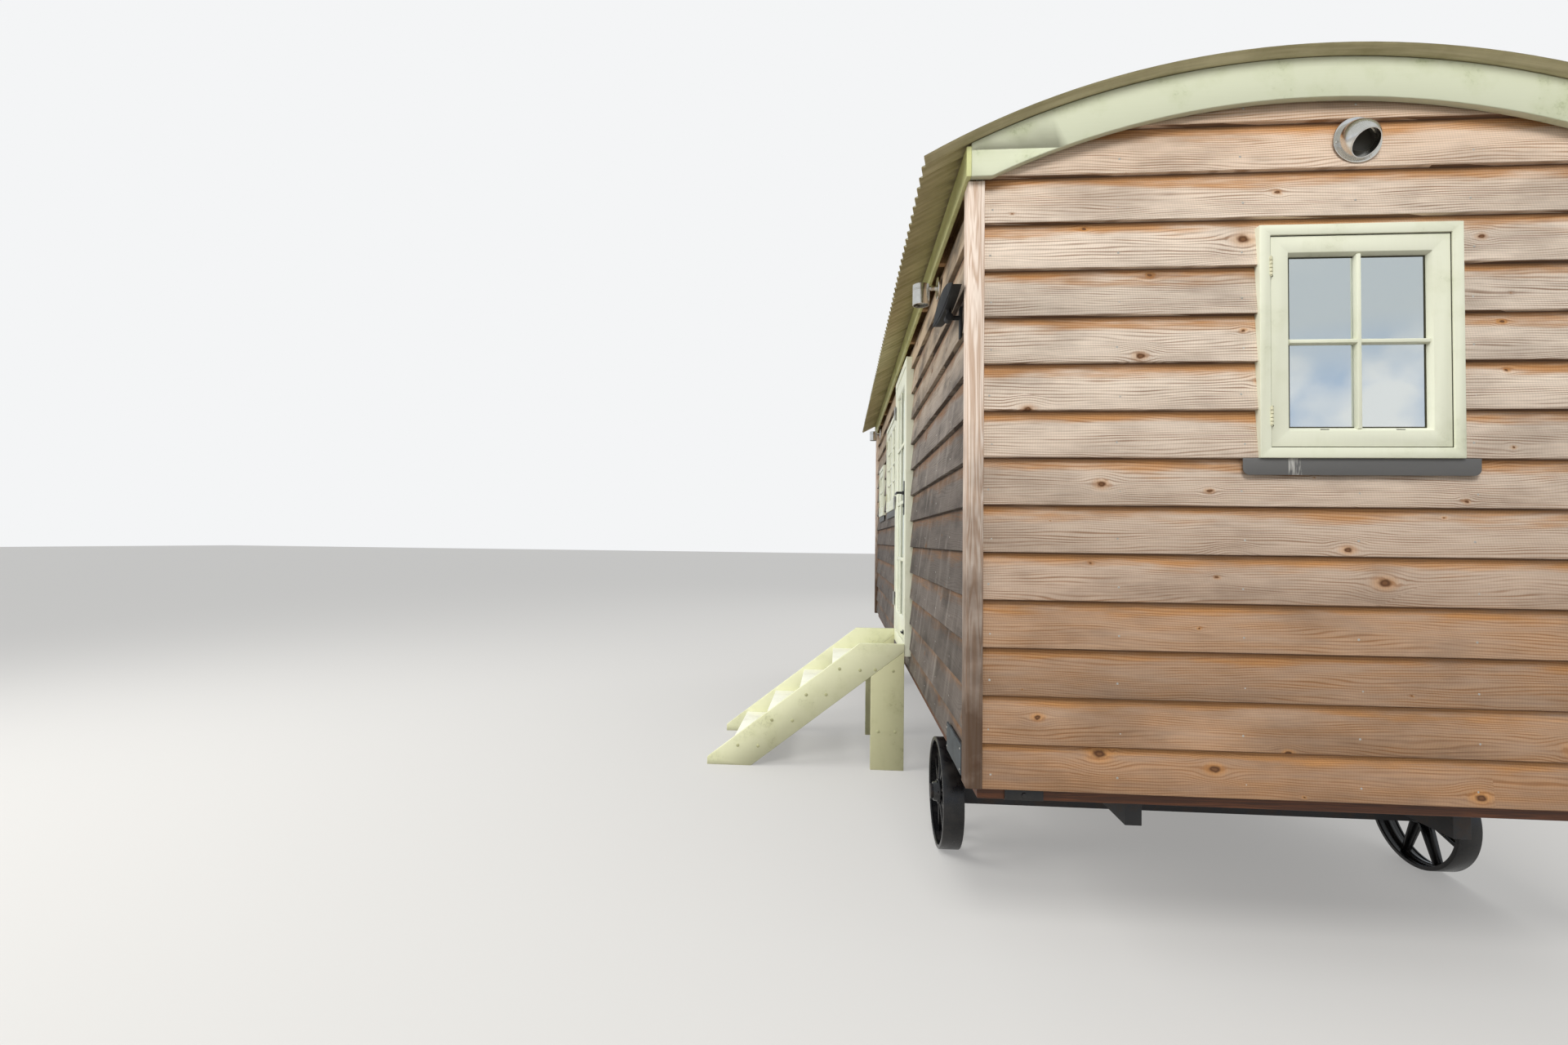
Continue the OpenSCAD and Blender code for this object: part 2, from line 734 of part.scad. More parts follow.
module leaf_hinges() {
    color("silver") for (z = hinge_zs) translate([-hinge_x, hinge_y, z + hinge_half + seat]) {
        difference() {
            union() {
                cylinder(r = hinge_r, h = hinge_half, $fn = 40);
                box([hinge_x - leaf_out_x - seat - hinge_plate.x, -hinge_plate.y, hinge_plate.z],
                    [hinge_x - leaf_out_x - seat, -move_gap / 2 - 1, hinge_half - hinge_plate.z]);
            }
            translate([0, 0, -1]) cylinder(r = pin_r + pin_play, h = pin_l + 3, $fn = 40);
        }
    }
}

// Puts a pane or its opening, modelled round the origin, in the door leaf
module in_leaf() {
    translate([-leaf_out_x, leaf_y + leaf_w / 2, leaf_low_z + bottom_rail + glazing_h / 2])
        rotate([0, 0, -90]) children();
}

// Its lock edge is planed back towards the inside, so that it clears the frame as it swings
module door_leaf() {
    color([0.86, 0.88, 0.76]) difference() {
        translate([0, 0, leaf_low_z]) linear_extrude(leaf_top_z - leaf_low_z) polygon([
            [-leaf_out_x, leaf_y], [-leaf_out_x, leaf_y + leaf_w], [-leaf_out_x + leaf_t, leaf_y + leaf_w],
            [-leaf_out_x + leaf_t, leaf_y + leading_edge]]);
        in_leaf() glazed_hole(leaf_w - 2 * stile_w, glazing_h, leaf_t, leaf_glass_in);
    }
}

module door_glass() {
    color([0.5, 0.6, 0.65, 0.4]) in_leaf() pane(leaf_w - 2 * stile_w, glazing_h, leaf_glass_in);
}

// Turns local X and Y to the door's width and height, local Z outwards from the leaf's face
module on_leaf(y, z) { translate([-leaf_out_x - seat, y, z]) rotate([90, 0, -90]) children(); }

// Lever on a long plate with a key rose, and a small bolt near the bottom
module door_furniture() {
    y = leaf_y + stile_w / 2;
    plate = [40, 230, 5];
    below_lever = 35;
    neck_l = 42;
    lever_l = 115;
    lever_r = 8;
    collar = [lever_r + 5, 9];
    rose = [11, 4];
    bolt = [56, 30, 4];
    bolt_r = 6;
    block = [36, 8];
    bolt_z = leaf_low_z + 58;
    color("black") {
        on_leaf(y, handle_z) {
            translate([0, -below_lever, 0]) rounded_plate(plate.x, plate.y, plate.x / 2 - 1, plate.z);
            cylinder(r = collar.x, h = plate.z + collar.y, $fn = 32);
            cylinder(r = lever_r, h = plate.z + neck_l, $fn = 32);
            translate([0, 0, plate.z + neck_l]) {
                sphere(r = lever_r, $fn = 32);
                rotate([0, -90, 0]) cylinder(r = lever_r, h = lever_l, $fn = 32);
                translate([-lever_l, 0, 0]) sphere(r = lever_r, $fn = 32);
            }
            translate([0, -2.5 * below_lever, 0]) cylinder(r = rose.x, h = plate.z + rose.y, $fn = 32);
        }
        on_leaf(y, bolt_z) {
            rounded_plate(bolt.x, bolt.y, 5, bolt.z);
            translate([-block.x / 2, -block.y / 2, bolt.z - 1]) cube([block.x, block.y, bolt_r + 1]);
            translate([-bolt.x / 2 - 2, 0, bolt.z + bolt_r + 2]) rotate([0, 90, 0])
                cylinder(r = bolt_r, h = bolt.x + 4, $fn = 24);
        }
    }
}

// Small fittings

// A round plate with a hollow hood, whose round mouth looks outwards, down and a little to the right
module vent_cowl() {
    flange_r = 80;
    flange_t = 3;
    hood_r = 66;
    hood_t = 2;
    mouth_at = 36;
    mouth_down = 36;
    roll = 17;
    below_lap = 75.6;
    from_roof = 150;
    rows_up = floor((arc_z + roof_r - from_roof - board_line_z) / exposure);
    color("silver") on_front(gable_win_x, board_line_z + rows_up * exposure - below_lap)
        translate([0, -clad_t - seat, 0]) rotate([90, 0, 0]) {
            cylinder(r = flange_r, h = flange_t, $fn = 72);
            rotate([0, 0, roll]) difference() {
                sphere(r = hood_r, $fn = 64);
                sphere(r = hood_r - hood_t, $fn = 64);
                translate([-hood_r, -hood_r, flange_t - 1 - 2 * hood_r]) cube(2 * hood_r);
                rotate([mouth_down, 0, 0]) translate([-hood_r, -hood_r, mouth_at]) cube(2 * hood_r);
            }
        }
}

// A disc on the wall and a short arm to an upright tube that shines down
module down_lights() {
    ys = [-body_l / 2 + 884, body_l / 2 - 640];
    from_eaves = 70;
    wall = 4;
    out = 86;
    disc = [53, 10];
    tube = [40, 100];
    arm_r = 12;
    rim = 3;
    tube_low = -84;
    z = eaves_z - from_eaves;
    wall_x = -core_x - boards_out(z - disc.x, z + disc.x) - seat;
    color("silver") for (y = ys) translate([wall_x, y, z]) {
        rotate([0, -90, 0]) cylinder(r = disc.x, h = disc.y, $fn = 64);
        rotate([0, -90, 0]) cylinder(r = arm_r, h = out - tube.x / 2, $fn = 32);
        translate([-out, 0, tube_low]) difference() {
            cylinder(r = tube.x, h = tube.y, $fn = 64);
            translate([0, 0, -1]) cylinder(r = tube.x - wall, h = rim + 1, $fn = 64);
        }
    }
}

// A long slim head with curved edges and a thin hood, on a knuckle and a short arm from a wall bracket
module wall_fitting() {
    bracket = [8, 40, 118];
    arm_r = 9;
    arm_l = 42;
    knuckle_r = 15;
    knuckle_l = 44;
    head_l = 510;
    head_t = 34;
    arch = 52;
    belly = 30;
    hood_t = 4;
    hood_more = 12;
    head_at = [60, 62];
    out_x = arm_l + bracket.x;
    arm_z = 20;
    from_post = 232;
    from_eaves = 445;
    color("black") translate([-core_x - clad_t - seat, -body_l / 2 + from_post, eaves_z - from_eaves]) {
        box([-bracket.x, -bracket.y / 2, -bracket.z / 2], [0, bracket.y / 2, bracket.z / 2]);
        translate([-bracket.x + 1, 0, arm_z]) rotate([0, -90, 0]) cylinder(r = arm_r, h = arm_l, $fn = 32);
        translate([-out_x, 0, arm_z]) {
            rotate([90, 0, 0]) cylinder(r = knuckle_r, h = knuckle_l, center = true, $fn = 32);
            cylinder(r = arm_r, h = arch, $fn = 32);
            translate([head_t / 2, head_at.x, head_at.y]) rotate([90, 0, -90]) {
                linear_extrude(head_t) lens(head_l, arch, belly);
                translate([0, 0, head_t - 1]) linear_extrude(hood_t)
                    lens(head_l + 2 * hood_more, arch + hood_more / 2, belly - hood_more);
            }
        }
    }
}

// An outline between two arcs that meet at its ends, its chord along x: up is the upper arc's height
module lens(chord, up, down) {
    up_r = (pow(chord / 2, 2) + pow(up, 2)) / (2 * up);
    down_r = (pow(chord / 2, 2) + pow(down, 2)) / (2 * down);
    intersection() {
        translate([0, up - up_r]) circle(up_r, $fn = 180);
        translate([0, down_r - down]) circle(down_r, $fn = 180);
    }
}

module name_plate() {
    slate = [8, 340, 113];
    from_post = 160;
    below_boards = 34;
    color([0.15, 0.16, 0.17]) translate([-core_x - clad_t - seat - slate.x, -body_l / 2 + from_post,
        side_skirt_z - below_boards]) cube(slate);
}

// Steps
module string_side() {
    underside_x = toe_x + string_drop / tan(slope);
    polygon([
        [-steps_reach, 0],
        [underside_x, 0],
        [step_wall_x - leg_w, (step_wall_x - leg_w - underside_x) * tan(slope)],
        [step_wall_x, (step_wall_x - underside_x) * tan(slope)],
        [step_wall_x, string_top_z],
        [string_flat_x, string_top_z],
        [-steps_reach, (-steps_reach - toe_x) * tan(slope)]
    ]);
}

module leg_side() {
    underside_x = toe_x + string_drop / tan(slope);
    polygon([
        [step_wall_x - leg_w, 0],
        [step_wall_x, 0],
        [step_wall_x, (step_wall_x - underside_x) * tan(slope) - seat],
        [step_wall_x - leg_w, (step_wall_x - leg_w - underside_x) * tan(slope) - seat]
    ]);
}

// Extrudes a side view of the steps into a board at each end of their width
module both_strings() {
    for (y = [step_y + step_t, step_y + steps_w])
        translate([0, y, 0]) rotate([90, 0, 0]) linear_extrude(step_t) children();
}

module step_strings() { color([0.86, 0.87, 0.70]) both_strings() string_side(); }
module step_legs() { color([0.86, 0.87, 0.70]) both_strings() leg_side(); }

module step_treads() {
    overlap = 15;
    color([0.95, 0.96, 0.93]) for (i = [0 : treads - 1]) {
        x = nose_x - (treads - 1 - i) * going;
        z = landing_z - (treads - 1 - i) * rise;
        box([x, step_y + step_t + seat, z - step_t],
            [i == treads - 1 ? step_wall_x : x + going + overlap, step_y + steps_w - step_t - seat, z]);
    }
}

placed() floor_deck();
placed() floor_frame();
placed() beam_brackets();
placed() chassis_rails();
placed() front_axle();
placed() rear_axle();
placed() wheel_front_left();
placed() wheel_front_right();
placed() wheel_rear_left();
placed() wheel_rear_right();
placed() front_gable_wall();
placed() rear_gable_wall();
placed() left_wall_front();
placed() left_wall_rear();
placed() left_wall_head();
placed() right_wall();
placed() corner_posts();
placed() front_boards();
placed() rear_boards();
placed() left_boards();
placed() right_boards();
placed() ceiling_lining();
placed() roof_bows();
placed() roof_deck();
placed() roof_sheets();
placed() bargeboards();
placed() fascias();
placed() gable_window_frames();
placed() gable_window_sashes();
placed() gable_window_glass();
placed() side_window_frames();
placed() side_window_sashes();
placed() side_window_glass();
placed() window_flashings();
placed() door_frame();
placed() frame_hinges();
placed() door_leaf();
placed() leaf_hinges();
placed() door_glass();
placed() door_furniture();
placed() vent_cowl();
placed() down_lights();
placed() wall_fitting();
placed() name_plate();
placed() step_strings();
placed() step_treads();
placed() step_legs();
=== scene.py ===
"""The shepherd's hut's looks: its boards, roof, joinery, ironwork and steps, with the camera and light."""
import functools
import logging
import math
from collections.abc import Callable, Iterable, Iterator
from dataclasses import dataclass, field
from enum import Enum

import bpy
from mathutils import Matrix, Vector


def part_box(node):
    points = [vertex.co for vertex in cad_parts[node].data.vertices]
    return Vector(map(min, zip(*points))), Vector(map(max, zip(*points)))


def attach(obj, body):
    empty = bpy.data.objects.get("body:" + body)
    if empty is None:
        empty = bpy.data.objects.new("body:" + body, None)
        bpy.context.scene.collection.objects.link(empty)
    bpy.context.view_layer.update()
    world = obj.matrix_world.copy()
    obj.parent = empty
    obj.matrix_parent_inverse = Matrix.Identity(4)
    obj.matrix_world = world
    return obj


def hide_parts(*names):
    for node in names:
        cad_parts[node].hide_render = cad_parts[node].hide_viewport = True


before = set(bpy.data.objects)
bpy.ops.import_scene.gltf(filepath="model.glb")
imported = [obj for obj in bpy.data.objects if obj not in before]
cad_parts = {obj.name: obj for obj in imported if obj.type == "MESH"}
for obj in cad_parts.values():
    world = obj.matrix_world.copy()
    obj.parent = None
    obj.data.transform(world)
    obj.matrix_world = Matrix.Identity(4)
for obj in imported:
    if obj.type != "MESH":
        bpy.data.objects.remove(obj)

log = logging.getLogger("hut")
MM = 0.001
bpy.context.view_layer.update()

# A CAD copy's loose triangles meet within this distance, and a flat face's turn by less than this angle
WELD = 0.01 * MM
FLAT = math.radians(0.6)
# The points of a turned shape's pole and seam meet within this distance
POLE_WELD = 0.02 * MM
# Edges that turn by more are rounded, in degrees
SHARP = 30.0

Piece = bpy.types.Object
Point = Iterable[float]
Profile = list[tuple[float, float]]


class Axis(Enum):
    """The frame's directions, as a place in a vector."""

    X = 0
    Y = 1
    Z = 2


# ---- modelling operations ----


def deselect() -> None:
    """Leaves edit mode and deselects everything."""
    if bpy.context.object and bpy.context.object.mode != "OBJECT":
        bpy.ops.object.mode_set(mode="OBJECT")
    bpy.ops.object.select_all(action="DESELECT")


def pick(*pieces: Piece) -> None:
    """Selects pieces, the first one active.

    Args:
        pieces: The objects to select.
    """
    deselect()
    for piece in pieces:
        piece.select_set(True)
    bpy.context.view_layer.objects.active = pieces[0]


def edit(piece: Piece, action: str = "SELECT") -> None:
    """Opens a piece in edit mode, on its vertices.

    Args:
        piece: The object to open.
        action: Whether everything in it is selected or deselected.
    """
    pick(piece)
    bpy.ops.object.mode_set(mode="EDIT")
    bpy.ops.mesh.select_mode(type="VERT")
    bpy.ops.mesh.select_all(action=action)


def choose(piece: Piece, test: Callable[[Vector], bool]) -> None:
    """Selects the vertices that pass a test on their place, in edit mode.

    Args:
        piece: The object to select in.
        test: Says of a place whether its vertex is selected.
    """
    edit(piece, "DESELECT")
    bpy.ops.object.mode_set(mode="OBJECT")
    for vertex in piece.data.vertices:
        vertex.select = test(vertex.co)
    bpy.ops.object.mode_set(mode="EDIT")


def settle(name: str) -> Piece:
    """Names the new primitive and puts its place into its mesh.

    Args:
        name: The name of the piece.

    Returns:
        The object.
    """
    piece = bpy.context.object
    pick(piece)
    bpy.ops.object.transform_apply(location=True, rotation=True, scale=True)
    piece.name = piece.data.name = name
    return piece


def block(name: str, low: Point, high: Point) -> Piece:
    """A box between two corners, to be cut, tapered or bevelled.

    Args:
        name: The name of the piece.
        low: Its lowest corner.
        high: Its highest corner.

    Returns:
        The new object.
    """
    low, high = Vector(low), Vector(high)
    bpy.ops.mesh.primitive_cube_add(size=1, location=(low + high) / 2, scale=high - low)
    return settle(name)


def drum(name: str, at: Point, radius: float, depth: float, axis: Axis, sides: int = 32) -> Piece:
    """A round bar.

    Args:
        name: The name of the piece.
        at: Its middle.
        radius: Its radius.
        depth: Its length along its axis.
        axis: The direction of its axis.
        sides: How many faces it has round it.

    Returns:
        The new object.
    """
    turns = {Axis.X: (0, math.pi / 2, 0), Axis.Y: (math.pi / 2, 0, 0), Axis.Z: (0, 0, 0)}
    bpy.ops.mesh.primitive_cylinder_add(vertices=sides, radius=radius, depth=depth, location=at,
                                        rotation=turns[axis])
    return settle(name)


def line(name: str, points: list[tuple[float, float, float]]) -> Piece:
    """A chain of edges: a plane is merged to a point, which is then extruded from place to place.

    Args:
        name: The name of the piece.
        points: The places, one after another.

    Returns:
        The new object.
    """
    bpy.ops.mesh.primitive_plane_add(size=10 * MM, location=points[0])
    piece = settle(name)
    edit(piece)
    bpy.ops.mesh.merge(type="CENTER")
    for here, there in zip(points, points[1:]):
        step = Vector(there) - Vector(here)
        bpy.ops.mesh.extrude_vertices_move(TRANSFORM_OT_translate={"value": step})
    deselect()
    return piece


def face_outwards() -> None:
    """Turns all the faces of the piece in edit mode outwards, and leaves edit mode."""
    bpy.ops.mesh.select_all(action="SELECT")
    bpy.ops.mesh.normals_make_consistent(inside=False)
    deselect()


def prism(name: str, points: list[tuple[float, float, float]], steps: list[Point]) -> Piece:
    """An outline that is filled and extruded.

    Args:
        name: The name of the piece.
        points: The corners of the flat outline.
        steps: The moves of its extrusion, one after another.

    Returns:
        The new object.
    """
    piece = line(name, points)
    edit(piece)
    bpy.ops.mesh.edge_face_add()
    for step in steps:
        bpy.ops.mesh.extrude_region_move(TRANSFORM_OT_translate={"value": step})
    face_outwards()
    return piece


def turned(name: str, profile: Profile, at: Point, axis: Axis, steps: int, closed: bool = True) -> Piece:
    """A turned shape, made by spinning a profile.

    Args:
        name: The name of the piece.
        profile: Radius and place along the axis of each point.
        at: The point of the axis that the profile's places are measured from.
        axis: The direction of the axis.
        steps: How many steps the full turn has.
        closed: Whether the profile's last point joins its first.

    Returns:
        The new object.
    """
    at = Vector(at)
    along = Vector([float(axis.value == i) for i in range(3)])
    across = Vector((0, 0, 1)) if axis is not Axis.Z else Vector((1, 0, 0))
    places = [tuple(at + across * radius + along * place) for radius, place in profile]
    piece = line(name, places + places[:1] if closed else places)
    edit(piece)
    bpy.ops.mesh.spin(steps=steps, angle=math.tau, center=at, axis=along)
    bpy.ops.mesh.select_all(action="SELECT")
    bpy.ops.mesh.remove_doubles(threshold=POLE_WELD)
    face_outwards()
    return piece


def modified(piece: Piece, kind: str, **settings: object) -> Piece:
    """Adds a modifier with its settings and applies it.

    Args:
        piece: The object to change.
        kind: The modifier's type.
        settings: The modifier's own properties.

    Returns:
        The same object.
    """
    pick(piece)
    modifier = piece.modifiers.new(kind.title(), kind)
    for key, value in settings.items():
        setattr(modifier, key, value)
    bpy.ops.object.modifier_apply(modifier=modifier.name)
    return piece


def smooth(piece: Piece, angle: float = 40) -> Piece:
    """Shades a piece smoothly across the edges that turn by little.

    Args:
        piece: The object to shade.
        angle: The angle in degrees from which an edge stays sharp.

    Returns:
        The same object.
    """
    pick(piece)
    bpy.ops.object.shade_smooth_by_angle(angle=math.radians(angle))
    return piece


def softened(piece: Piece, width: float, segments: int = 2) -> Piece:
    """Rounds a piece's sharp edges and shades what lies between them smoothly.

    Args:
        piece: The object to round.
        width: The width of the rounding in metres.
        segments: How many faces each rounding has.

    Returns:
        The same object.
    """
    return smooth(modified(piece, "BEVEL", width=width, segments=segments, limit_method="ANGLE",
                           angle_limit=math.radians(SHARP), miter_outer="MITER_ARC"))


def cut(piece: Piece, tool: Piece, operation: str = "DIFFERENCE") -> Piece:
    """Cuts a piece with a tool, and removes the tool.

    Args:
        piece: The object to cut.
        tool: The object that cuts it.
        operation: Whether the tool is taken away from the piece, or only what lies in it is kept.

    Returns:
        The cut object.
    """
    modified(piece, "BOOLEAN", operation=operation, object=tool, solver="EXACT")
    remove(tool)
    # the solver leaves a part inside out in some runs
    edit(piece)
    face_outwards()
    return piece


def copied(piece: Piece, name: str, move: Matrix) -> Piece:
    """A copy with its own mesh, moved to its place.

    Args:
        piece: The object to copy.
        name: The copy's name.
        move: Where it goes from the piece's place.

    Returns:
        The copy.
    """
    twin = bpy.data.objects.new(name, piece.data.copy())
    twin.data.name = name
    bpy.context.collection.objects.link(twin)
    twin.data.transform(move)
    return twin


def moved(piece: Piece, move: Matrix) -> Piece:
    """Moves a piece's mesh, while its object stays at the origin."""
    piece.data.transform(move)
    return piece


def joined(name: str, pieces: list[Piece]) -> Piece:
    """Joins pieces to one.

    Args:
        name: The name of the whole.
        pieces: The objects to join.

    Returns:
        The one object.
    """
    pick(*pieces)
    if len(pieces) > 1:
        bpy.ops.object.join()
    pieces[0].name = pieces[0].data.name = name
    return pieces[0]


def remove(*pieces: Piece) -> None:
    """Takes patterns and tools away once they have been used."""
    for piece in pieces:
        bpy.data.objects.remove(piece)


def from_frame(node: str, name: str) -> Piece:
    """A merged copy of a CAD node with its flat triangles paired, ready for modifiers.

    Args:
        node: The node's name.
        name: The copy's name.

    Returns:
        The copy.
    """
    piece = copied(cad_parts[node], name, Matrix())
    piece.data.materials.clear()
    edit(piece)
    bpy.ops.mesh.remove_doubles(threshold=WELD)
    bpy.ops.mesh.tris_convert_to_quads(face_threshold=FLAT, shape_threshold=math.pi)
    deselect()
    return piece


# ---- finishes ----


def colour(code: str) -> tuple[float, float, float, float]:
    """Turns an sRGB hex value to linear.

    Args:
        code: Six hex digits after a number sign.

    Returns:
        Red, green, blue and alpha.
    """
    parts = [int(code[i:i + 2], 16) / 255 for i in (1, 3, 5)]
    linear = [p / 12.92 if p <= 0.04045 else ((p + 0.055) / 1.055) ** 2.4 for p in parts]
    return (linear[0], linear[1], linear[2], 1.0)


Tree = bpy.types.NodeTree
Socket = bpy.types.NodeSocket
Given = dict[int | str, object]
Adder = Callable[..., Socket]


def fill(tree: Tree, node: bpy.types.Node, given: Given) -> None:
    """Links a node's inputs to sockets, or sets their own values.

    Args:
        tree: The nodes it belongs to.
        node: The node.
        given: A value or a socket for each input, by name or number.
    """
    for key, value in given.items():
        if isinstance(value, Socket):
            tree.links.new(value, node.inputs[key])
        else:
            node.inputs[key].default_value = value


def add(tree: Tree, kind: str, given: Given | None = None, out: int | str = 0, **settings: object) -> Socket:
    """Adds a node with its settings and links.

    Args:
        tree: The nodes to add it to.
        kind: The node's kind, without the ShaderNode in front.
        given: Values or sockets for its inputs, by name or number.
        out: The output to return.
        settings: The node's own properties.

    Returns:
        The chosen output.
    """
    made = tree.nodes.new("ShaderNode" + kind)
    for key, value in settings.items():
        setattr(made, key, value)
    fill(tree, made, given or {})
    return made.outputs[out]


@dataclass(frozen=True)
class Finish:
    """A finish with what every surface has: its name, gloss and whether it is a metal."""

    name: str
    roughness: float = 0.6
    metallic: float = 0.0

    @functools.cache
    def material(self) -> bpy.types.Material:
        """Makes the material once and hands it out again after that.

        Returns:
            The material.
        """
        made = bpy.data.materials.new(self.name)
        made.use_nodes = True
        tree = made.node_tree
        shader = tree.nodes["Principled BSDF"]
        fill(tree, shader, {"Roughness": self.roughness, "Metallic": self.metallic})
        fill(tree, shader, self.dress(functools.partial(add, tree)))
        return made

    def dress(self, node: Adder) -> Given:
        """Draws the surface; each finish has its own way."""
        raise NotImplementedError

    def on(self, *pieces: Piece) -> None:
        """Gives pieces this finish.

        Args:
            pieces: The objects to dress.
        """
        for piece in pieces:
            piece.data.materials.clear()
            piece.data.materials.append(self.material())

    def on_node(self, *nodes: str) -> None:
        """Gives CAD nodes this finish.

        Args:
            nodes: Their names.
        """
        for node in nodes:
            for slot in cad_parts[node].material_slots:
                slot.material = self.material()


@dataclass(frozen=True)
class BoardSpot:
    """Where a point lies on its board."""

    place: Socket
    run: Socket
    z: Socket
    row: Socket
    up: Socket
    own: Socket
    chance: Socket
    shifted: Socket


@dataclass(frozen=True)
class LarchBoards(Finish):
    """Sawn larch, left bare. Rain and sun silver each board, the lap above keeps a band of it orange, and
    knots and growth rings stay darker; the saw leaves fine marks across, so there is no gloss. Rings,
    fibre and saw marks are finer than would show, so all three are drawn coarser."""

    along: Axis = Axis.X
    seed: float = 0.0
    line_z: float = 0.786
    exposure: float = 0.168
    silver: str = "#DDCDBB"
    ring: str = "#85664D"
    fresh: str = "#BE8A55"
    fresh_ring: str = "#8A5325"
    knot: str = "#5B3A22"
    knot_ring: str = "#8E6440"
    # the colour of the grime patches, and of the band of painted shade under each lap
    grime: str = "#5E4C3E"
    streak: str = "#B4ABA0"
    grime_share: float = 0.35
    streaks: float = 0.0
    # a tone that takes over with height: its colour, where it starts, where it is full, its share there
    tones: tuple[tuple[str, float, float, float], ...] = (
        ("#8C6A4E", 2.05, 1.3, 0.6), ("#6B4C36", 0.96, 0.66, 0.45), ("#B9854F", 2.62, 3.15, 0.5))
    warm_below: float = 1.29
    warm_share: float = 0.42
    ring_pitch: float = 9.5 * MM
    saw_pitch: float = 9 * MM
    knot_every: float = 0.42
    knot_slim: float = 0.62
    knot_r: float = 17 * MM
    pin_knot_r: float = 0.2 * MM
    # cells a metre, along the board and across it
    wander_cells: tuple[float, float] = (1.3, 9.0)
    patch_cells: tuple[float, float] = (3.0, 26.0)
    fibre_cells: tuple[float, float] = (8.0, 230.0)
    cloud_cells: tuple[float, float] = (2.2, 5.0)
    drip_cells: tuple[float, float] = (11.0, 1.8)
    wobble_cells: float = 45.0
    wobble: float = 9 * MM
    relief: float = 0.9 * MM

    @staticmethod
    def cells(node: Adder, run: Socket, rise: Socket, count: tuple[float, float],
              third: Socket | float = 0.0) -> Socket:
        """A place on the board, counted in a pattern's cells.

        Args:
            node: Adds a node.
            run: The place along the board.
            rise: The place across it.
            count: The cells a metre in both directions.
            third: Sets one board's pattern apart from the next.

        Returns:
            The place.
        """
        return node("CombineXYZ", {0: node("Math", {0: run, 1: count[0]}, operation="MULTIPLY"),
                                   1: node("Math", {0: rise, 1: count[1]}, operation="MULTIPLY"), 2: third})

    def spot(self, node: Adder) -> BoardSpot:
        """Works out the board a point lies on, and gives each board a chance of its own.

        Args:
            node: Adds a node.

        Returns:
            The point's place on its board.
        """
        place = node("TexCoord", out="Object")
        split = node("SeparateXYZ", {0: place}).node
        run, z = split.outputs[self.along.value], split.outputs[2]
        rows = node("Math", {0: z, 1: -self.line_z}, operation="ADD")
        rows = node("Math", {0: rows, 1: self.exposure}, operation="DIVIDE")
        row = node("Math", {0: rows}, operation="FLOOR")
        up = node("Math", {0: rows}, operation="FRACT")
        own = node("Math", {0: row, 1: self.seed}, operation="ADD")
        chance = node("TexWhiteNoise", {"W": own}, "Value", noise_dimensions="1D")
        shifted = node("Math", {0: chance, 1: 40.0, 2: run}, operation="MULTIPLY_ADD")
        return BoardSpot(place, run, z, row, up, own, chance, shifted)

    def knots(self, node: Adder, spot: BoardSpot) -> tuple[Socket, Socket, Socket, Socket]:
        """One cell of a pattern holds one knot, its size by chance, and the grain bends round it.

        Args:
            node: Adds a node.
            spot: The point's place on its board.

        Returns:
            The shares of knot and of its halo, the knot's own colour, and the height with the bend.
        """
        cell_x = node("Math", {0: spot.shifted, 1: self.knot_every}, operation="DIVIDE")
        cell_y = node("Math", {0: spot.row, 1: 5.0, 2: spot.up}, operation="MULTIPLY_ADD")
        cell = node("CombineXYZ", {0: cell_x, 1: cell_y})
        knots = node("TexVoronoi", {"Vector": cell, "Scale": 1.0, "Randomness": 0.9},
                     voronoi_dimensions="2D", feature="F1").node
        apart = node("VectorMath", {0: cell, 1: knots.outputs["Position"]}, operation="SUBTRACT")
        apart = node("VectorMath", {0: apart, 1: (self.knot_every * self.knot_slim, self.exposure, 0)},
                     operation="MULTIPLY")
        wobble = node("TexNoise", {"Vector": spot.place, "Scale": self.wobble_cells, "Detail": 1.0}, "Color")
        wobble = node("VectorMath", {0: wobble, 1: (0.5, 0.5, 0.5)}, operation="SUBTRACT")
        wobble = node("VectorMath", {0: wobble, "Scale": self.wobble}, operation="SCALE")
        apart = node("VectorMath", {0: apart, 1: wobble}, operation="ADD")
        reach = node("VectorMath", {0: apart}, "Value", operation="LENGTH")
        chances = node("SeparateColor", {0: knots.outputs["Color"]})
        size = node("Math", {0: chances, 1: 3.0}, operation="POWER")
        size = node("Math", {0: size, 1: self.knot_r, 2: self.pin_knot_r}, operation="MULTIPLY_ADD")
        near = node("Math", {0: reach, 1: size}, operation="DIVIDE")
        core = node("MapRange", {0: near, 1: 1.15, 2: 0.55}, interpolation_type="SMOOTHSTEP")
        halo = node("MapRange", {0: near, 1: 2.6, 2: 0.8}, interpolation_type="SMOOTHSTEP")
        bend = node("MapRange", {0: near, 1: 6.0, 2: 0.0, 4: 0.94}, interpolation_type="SMOOTHSTEP")
        off = node("SeparateXYZ", {0: apart}, 1)
        pushed = node("Math", {0: bend, 1: off}, operation="MULTIPLY")
        height = node("Math", {0: spot.z, 1: pushed}, operation="SUBTRACT")
        heart = node("Math", {0: near, 1: 9.0}, operation="MULTIPLY")
        heart = node("Math", {0: heart}, operation="SINE")
        inside = node("MapRange", {0: heart, 1: -1.0, 2: 1.0, 4: 0.45})
        inside = node("Mix", {0: inside, 6: colour(self.knot), 7: colour(self.knot_ring)}, 2,
                      data_type="RGBA")
        return core, halo, inside, height

